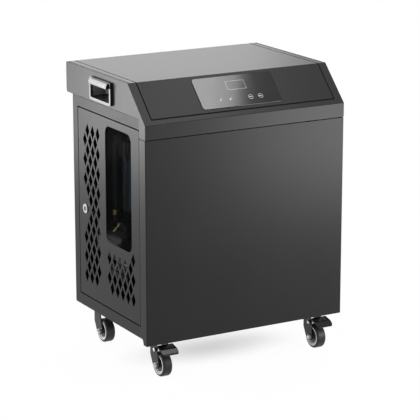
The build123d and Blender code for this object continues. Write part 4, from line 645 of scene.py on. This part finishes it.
# %% Rivets on the braked casters
rivet = turned([(4.1, 0), (4.1, 0.3), (3.7, 0.9), (2.8, 1.4), (1.5, 1.7), (0.2, 1.8)], 28)
small_rivet = turned([(2.6, 0), (2.5, 0.4), (2.1, 0.9), (1.3, 1.25), (0.2, 1.35)], 24)
pivot_height, cheek_height = 0.063, 0.0655
cheek_out, cheek_ahead = 0.0173, 0.015
rivets = 0
for corner in ("front_left", "front_right"):
    low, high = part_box(f"{corner}_fork")
    wheel = middle(f"{corner}_wheel_hub")
    pivot, cheek = [], []
    for side, fork_x in ((-1, low[0]), (1, high[0])):
        cheek_x, cheek_y = wheel.x + side * cheek_out, wheel.y - cheek_ahead
        pivot.append((Vector((fork_x, wheel.y, pivot_height)), (side, 0, 0)))
        cheek.append((Vector((cheek_x, cheek_y, cheek_height)), (side, 0, 0)))
    placed(f"{corner}_pivot_rivets", rivet, pivot, zinc, f"{corner}_swivel")
    placed(f"{corner}_cheek_rivets", small_rivet, cheek, zinc, f"{corner}_pedal")
    rivets += len(pivot) + len(cheek)
print("rivets:", rivets)

# %% Screws at the rear
pan_head = turned([(3.4, -0.2), (3.4, 0.5), (3.1, 1.3), (2.3, 1.8), (1.1, 1.95), (0.9, 0.9), (0.1, 0.9)], 30)
rear_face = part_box("rear_panel")[1][1]
screw_rows = (0.104, 0.2185, 0.333, 0.4475, 0.566)
end_rows = (screw_rows[0], screw_rows[-1])
screw_side, screw_step, inlet_spread = 0.2395, 0.12, 0.02
screw_spots = [(side * screw_side, height) for side in (-1, 1) for height in screw_rows]
screw_spots += [(step * screw_step, height) for step in (-1, 0, 1) for height in end_rows]
panel_seats = [(Vector((x, rear_face, height)), (0, 1, 0)) for x, height in screw_spots]
placed("rear_panel_screws", pan_head, panel_seats, black_zinc, "cabinet")
inlet_low, inlet_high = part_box("power_inlet")
inlet_x, inlet_z = (inlet_low[0] + inlet_high[0]) / 2, (inlet_low[2] + inlet_high[2]) / 2
inlet_spots = [Vector((inlet_x + side * inlet_spread, inlet_high[1], inlet_z)) for side in (-1, 1)]
placed("mains_inlet_screws", pan_head, [(spot, (0, 1, 0)) for spot in inlet_spots], zinc, "cabinet")
print("rear screws:", len(panel_seats) + len(inlet_spots))

# %% Lock nut behind the door
door_sheet = 0.0012
nut_bore = 9.1
nut_flats = hexagon(11.0)
nut_rings = [(nut_bore, 0), (12.6, 0), (13.0, 0.4), (13.0, 2.1), (12.6, 2.5), (nut_bore, 2.5)]


def nut_rule(angle, radius, height):
    """Cut the flats on the outside, and leave the bore round."""
    return radius if radius <= nut_bore else nut_flats(angle, radius, height)


lock_middle = middle("lock_barrel")
lock_nut = turned(nut_rings, 48, nut_rule, tube=True)
nut_seat = (Vector((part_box("service_door")[0][0] + door_sheet, lock_middle.y, lock_middle.z)), (1, 0, 0))
placed("lock_nut", lock_nut, [nut_seat], zinc, "door")
print("lock nut behind the sheet at", round(nut_seat[0].x, 4), "m")

# %% [markdown]
# ## Hose threads
# Each water union has a coarse outside thread for the tub's hose. A helix is the simplest rule for a turned
# piece: the radius rises and falls with the height, and the wave slides round with the angle.

# %% Threads on the water unions
bore, collar, root = 12.6, 13.1, 13.3
pitch, thread_depth, thread_length, fade_length = 2.3, 0.75, 17.2, 1.5
mouth_to_foot = 0.0176
thread_rings = [(collar, 0.0)]
thread_rings += [(root, 0.35 * count) for count in range(1, 49)]
thread_rings += [(collar, thread_length), (bore, thread_length), (bore, 0.0)]


def thread_rule(angle, radius, height):
    """Swell the radius along a helix, fading out at both ends of the thread."""
    if radius < root:
        return radius
    turn = (height / pitch - angle / (2 * math.pi)) % 1.0
    fade = min(1.0, height / fade_length, (thread_length - height) / fade_length)
    return radius + thread_depth * fade * (1.0 - abs(2.0 * turn - 1.0))


thread = turned(thread_rings, 60, thread_rule, tube=True)
for name in ("water_inlet", "water_outlet"):
    low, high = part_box(name)
    foot = Vector(((low[0] + high[0]) / 2, high[1] - mouth_to_foot, (low[2] + high[2]) / 2))
    placed(f"{name}_thread", thread, [(foot, (0, 1, 0))], pump_skin, "cabinet")
print("threads with a pitch of", pitch, "mm")

# %% [markdown]
# ## Vent elbow on the pump
# Low in the window a short bent brass fitting catches the light. It is the vent of the pump, a little pipe
# that leaves the motor's back and leans to the front. Its foot is found by looking straight down on the
# pump, so it always sits on the metal, and its pipe is a row of rings along a bent line. The template leans
# along Y, and a seat that faces straight up gives it a half turn, so the placed pipe leans to the front.

# %% Bent vent pipe
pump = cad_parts["water_pump"]
above_pump = Vector((-0.207, 0.053, 0.45))
found, foot = pump.ray_cast(above_pump, Vector((0.0, 0.0, -1.0)))[:2]
pipe_radius, pipe_sides, pipe_rings = 0.0028, 20, 18
foot_collar, mouth_collar, collar_swell = 0.12, 0.82, 1.35
start, bend, end = Vector((0.0, 0.0, -0.003)), Vector((0.0, 0.010, 0.006)), Vector((0.0, 0.032, 0.023))
pipe_corners, pipe_faces = [], []
for ring_number in range(pipe_rings + 1):
    part = ring_number / pipe_rings
    spot = start * (1 - part) ** 2 + bend * (2 * part * (1 - part)) + end * part ** 2
    ahead = ((bend - start) * (1 - part) + (end - bend) * part).normalized()
    lift = Vector((1.0, 0.0, 0.0)).cross(ahead)
    swell = 1.0 if foot_collar <= part <= mouth_collar else collar_swell
    for side in range(pipe_sides):
        angle = 2 * math.pi * side / pipe_sides
        outward = Vector((math.cos(angle), 0.0, 0.0)) + lift * math.sin(angle)
        pipe_corners.append(spot + outward * pipe_radius * swell)
for ring_number in range(pipe_rings):
    near, far = ring_number * pipe_sides, (ring_number + 1) * pipe_sides
    for side in range(pipe_sides):
        after = (side + 1) % pipe_sides
        pipe_faces.append((near + side, near + after, far + after, far + side))
pipe_faces.append(tuple(range(pipe_sides)))
pipe_faces.append(tuple(range(pipe_rings * pipe_sides, (pipe_rings + 1) * pipe_sides)))
# The vent's brass is a paler copy of the ferrule brass, painted light as if light falls on it.
lit_vent_brass = bare_metal("lit_vent_brass", (0.95, 0.78, 0.42), (0.85, 0.66, 0.34), 0.45)
placed("pump_vent_elbow", (pipe_corners, pipe_faces), [(foot, (0, 0, 1))], lit_vent_brass, "cabinet")
print("vent's foot:", [round(value, 4) for value in foot] if found else "not found")

# %% [markdown]
# ## Floor, lights and camera
# The cabinet stands on a pale floor in a bright room. The room is white for the camera and for reflections,
# and only moderately bright as a lamp, so the black coat stays black where nothing pale is mirrored in it.
# The floor glows a little too, but less under the cabinet, so that its shadow stays. Three strips of light
# high up are what the sloped glass mirrors, and they fade towards its edge. A soft lamp behind and to the
# left draws the long reflection down the cabinet's left side, and two more are mirrored faintly by the
# cover and by the front panel.

# %% Floor sheet
floor_reach = 12.0
floor_corners = [(x * floor_reach, y * floor_reach, 0) for x, y in ((-1, -1), (1, -1), (1, 1), (-1, 1))]
floor_mesh = bpy.data.meshes.new("floor")
floor_mesh.from_pydata(floor_corners, [], [(0, 1, 2, 3)])
floor = bpy.data.objects.new("floor", floor_mesh)
bpy.context.collection.objects.link(floor)
print("floor reaches", floor_reach, "m each way")

# %% Pale floor with room for a shadow
shade_middle, shade_reach = (-0.02, -0.035), (0.22, 0.1)
least_glow, glow_beside, glow_beyond = 0.50, 0.47, 0.03
pale = Finish("pale_floor", Roughness=0.7)
pale.set("Base Color", pale.blend(pale.cloud(0.6), (0.9, 0.9, 0.9), (0.93, 0.93, 0.93)))
glow = pale.node("ShaderNodeEmission", None, {"Color": (1.0, 1.0, 1.0, 1.0), "Strength": 1.0})
distance = pale.node("ShaderNodeVectorMath", {"operation": "LENGTH"}, {0: pale.place}, output="Value")
off_x = (pale.along((1.0, 0.0, 0.0)) - shade_middle[0]) / shade_reach[0]
off_y = (pale.along((0.0, 1.0, 0.0)) - shade_middle[1]) / shade_reach[1]
beside, beyond = off_x.diagonal(off_y).step(0.0, 1.2), distance.step(0.3, 0.8)
glowing = least_glow + beside * glow_beside + beyond * glow_beyond
lit = Wire(pale, pale.shader.outputs[0])
surface = pale.node("ShaderNodeMixShader", None, {0: glowing, 1: lit, 2: glow})
pale.feed(pale.tree.nodes["Material Output"].inputs["Surface"], surface)
floor.data.materials.append(pale.material)
print("floor glows from", least_glow, "to", least_glow + glow_beside + glow_beyond)

# %% Room light
room_level = 0.75
world = bpy.data.worlds.new("white_room")
world.use_nodes = True
bpy.context.scene.world = world
room = Net(world.node_tree)
seen, mirrored, through = [
    room.node("ShaderNodeLightPath", output=f"Is {kind} Ray") for kind in ("Camera", "Glossy", "Transmission")
]
looked_at = seen.most(mirrored).most(through)
backdrop = room.tree.nodes["Background"]
room.feed(backdrop.inputs["Color"], (1.0, 1.0, 1.0, 1.0))
room.feed(backdrop.inputs["Strength"], room_level + looked_at * (1.0 - room_level))
print("as a lamp the room has a strength of", room_level)


# %% Soft lamps
def soft_lamp(name, spot, aim, width, height, power):
    """A rectangular soft lamp aimed at a place."""
    lamp = bpy.data.lights.new(name, "AREA")
    lamp.shape = "RECTANGLE"
    lamp.size = width
    lamp.size_y = height
    lamp.energy = power
    holder = bpy.data.objects.new(name, lamp)
    holder.location = spot
    holder.rotation_euler = (Vector(aim) - Vector(spot)).to_track_quat("-Z", "Y").to_euler()
    holder.visible_camera = False
    bpy.context.collection.objects.link(holder)


strip_y, strip_height, strip_long = -0.5, 2.2, 0.6
strips = (("wide", 0.71, 0.30, 10.8), ("edge", 0.898, 0.075, 8.4), ("rim", 0.95, 0.04, 1.2))
for name, x, width, brightness in strips:
    spot, under = (x, strip_y, strip_height), (x, strip_y, 0.0)
    power = brightness * math.pi * width * strip_long
    soft_lamp(f"lamp_over_glass_{name}", spot, under, width, strip_long, power)
soft_lamp("lamp_behind", (1.04, 2.7, 1.5), (0.0, 0.0, 0.65), 1.5, 1.2, 10.7)
soft_lamp("lamp_rear_left", (-0.99, 0.86, 0.45), (-0.25, -0.1, 0.6), 0.72, 0.5, 10.2)
soft_lamp("lamp_front_right", (0.78, -1.02, 0.33), (0.25, -0.18, 0.55), 0.5, 0.4, 9.6)
print("soft lamps:", len(bpy.data.lights))

# %% Camera
camera = bpy.data.cameras.new("camera")
camera.lens = 169.5
camera.sensor_width = 36.0
eye = bpy.data.objects.new("camera", camera)
eye.location = (-2.14184, -3.78142, 1.45285)
target = Vector((0.00623, -0.00685, 0.315))
eye.rotation_euler = (target - eye.location).to_track_quat("-Z", "Y").to_euler()
bpy.context.collection.objects.link(eye)
bpy.context.scene.camera = eye
bpy.context.scene.view_settings.view_transform = "Standard"
print("camera looks from", [round(value, 3) for value in eye.location])
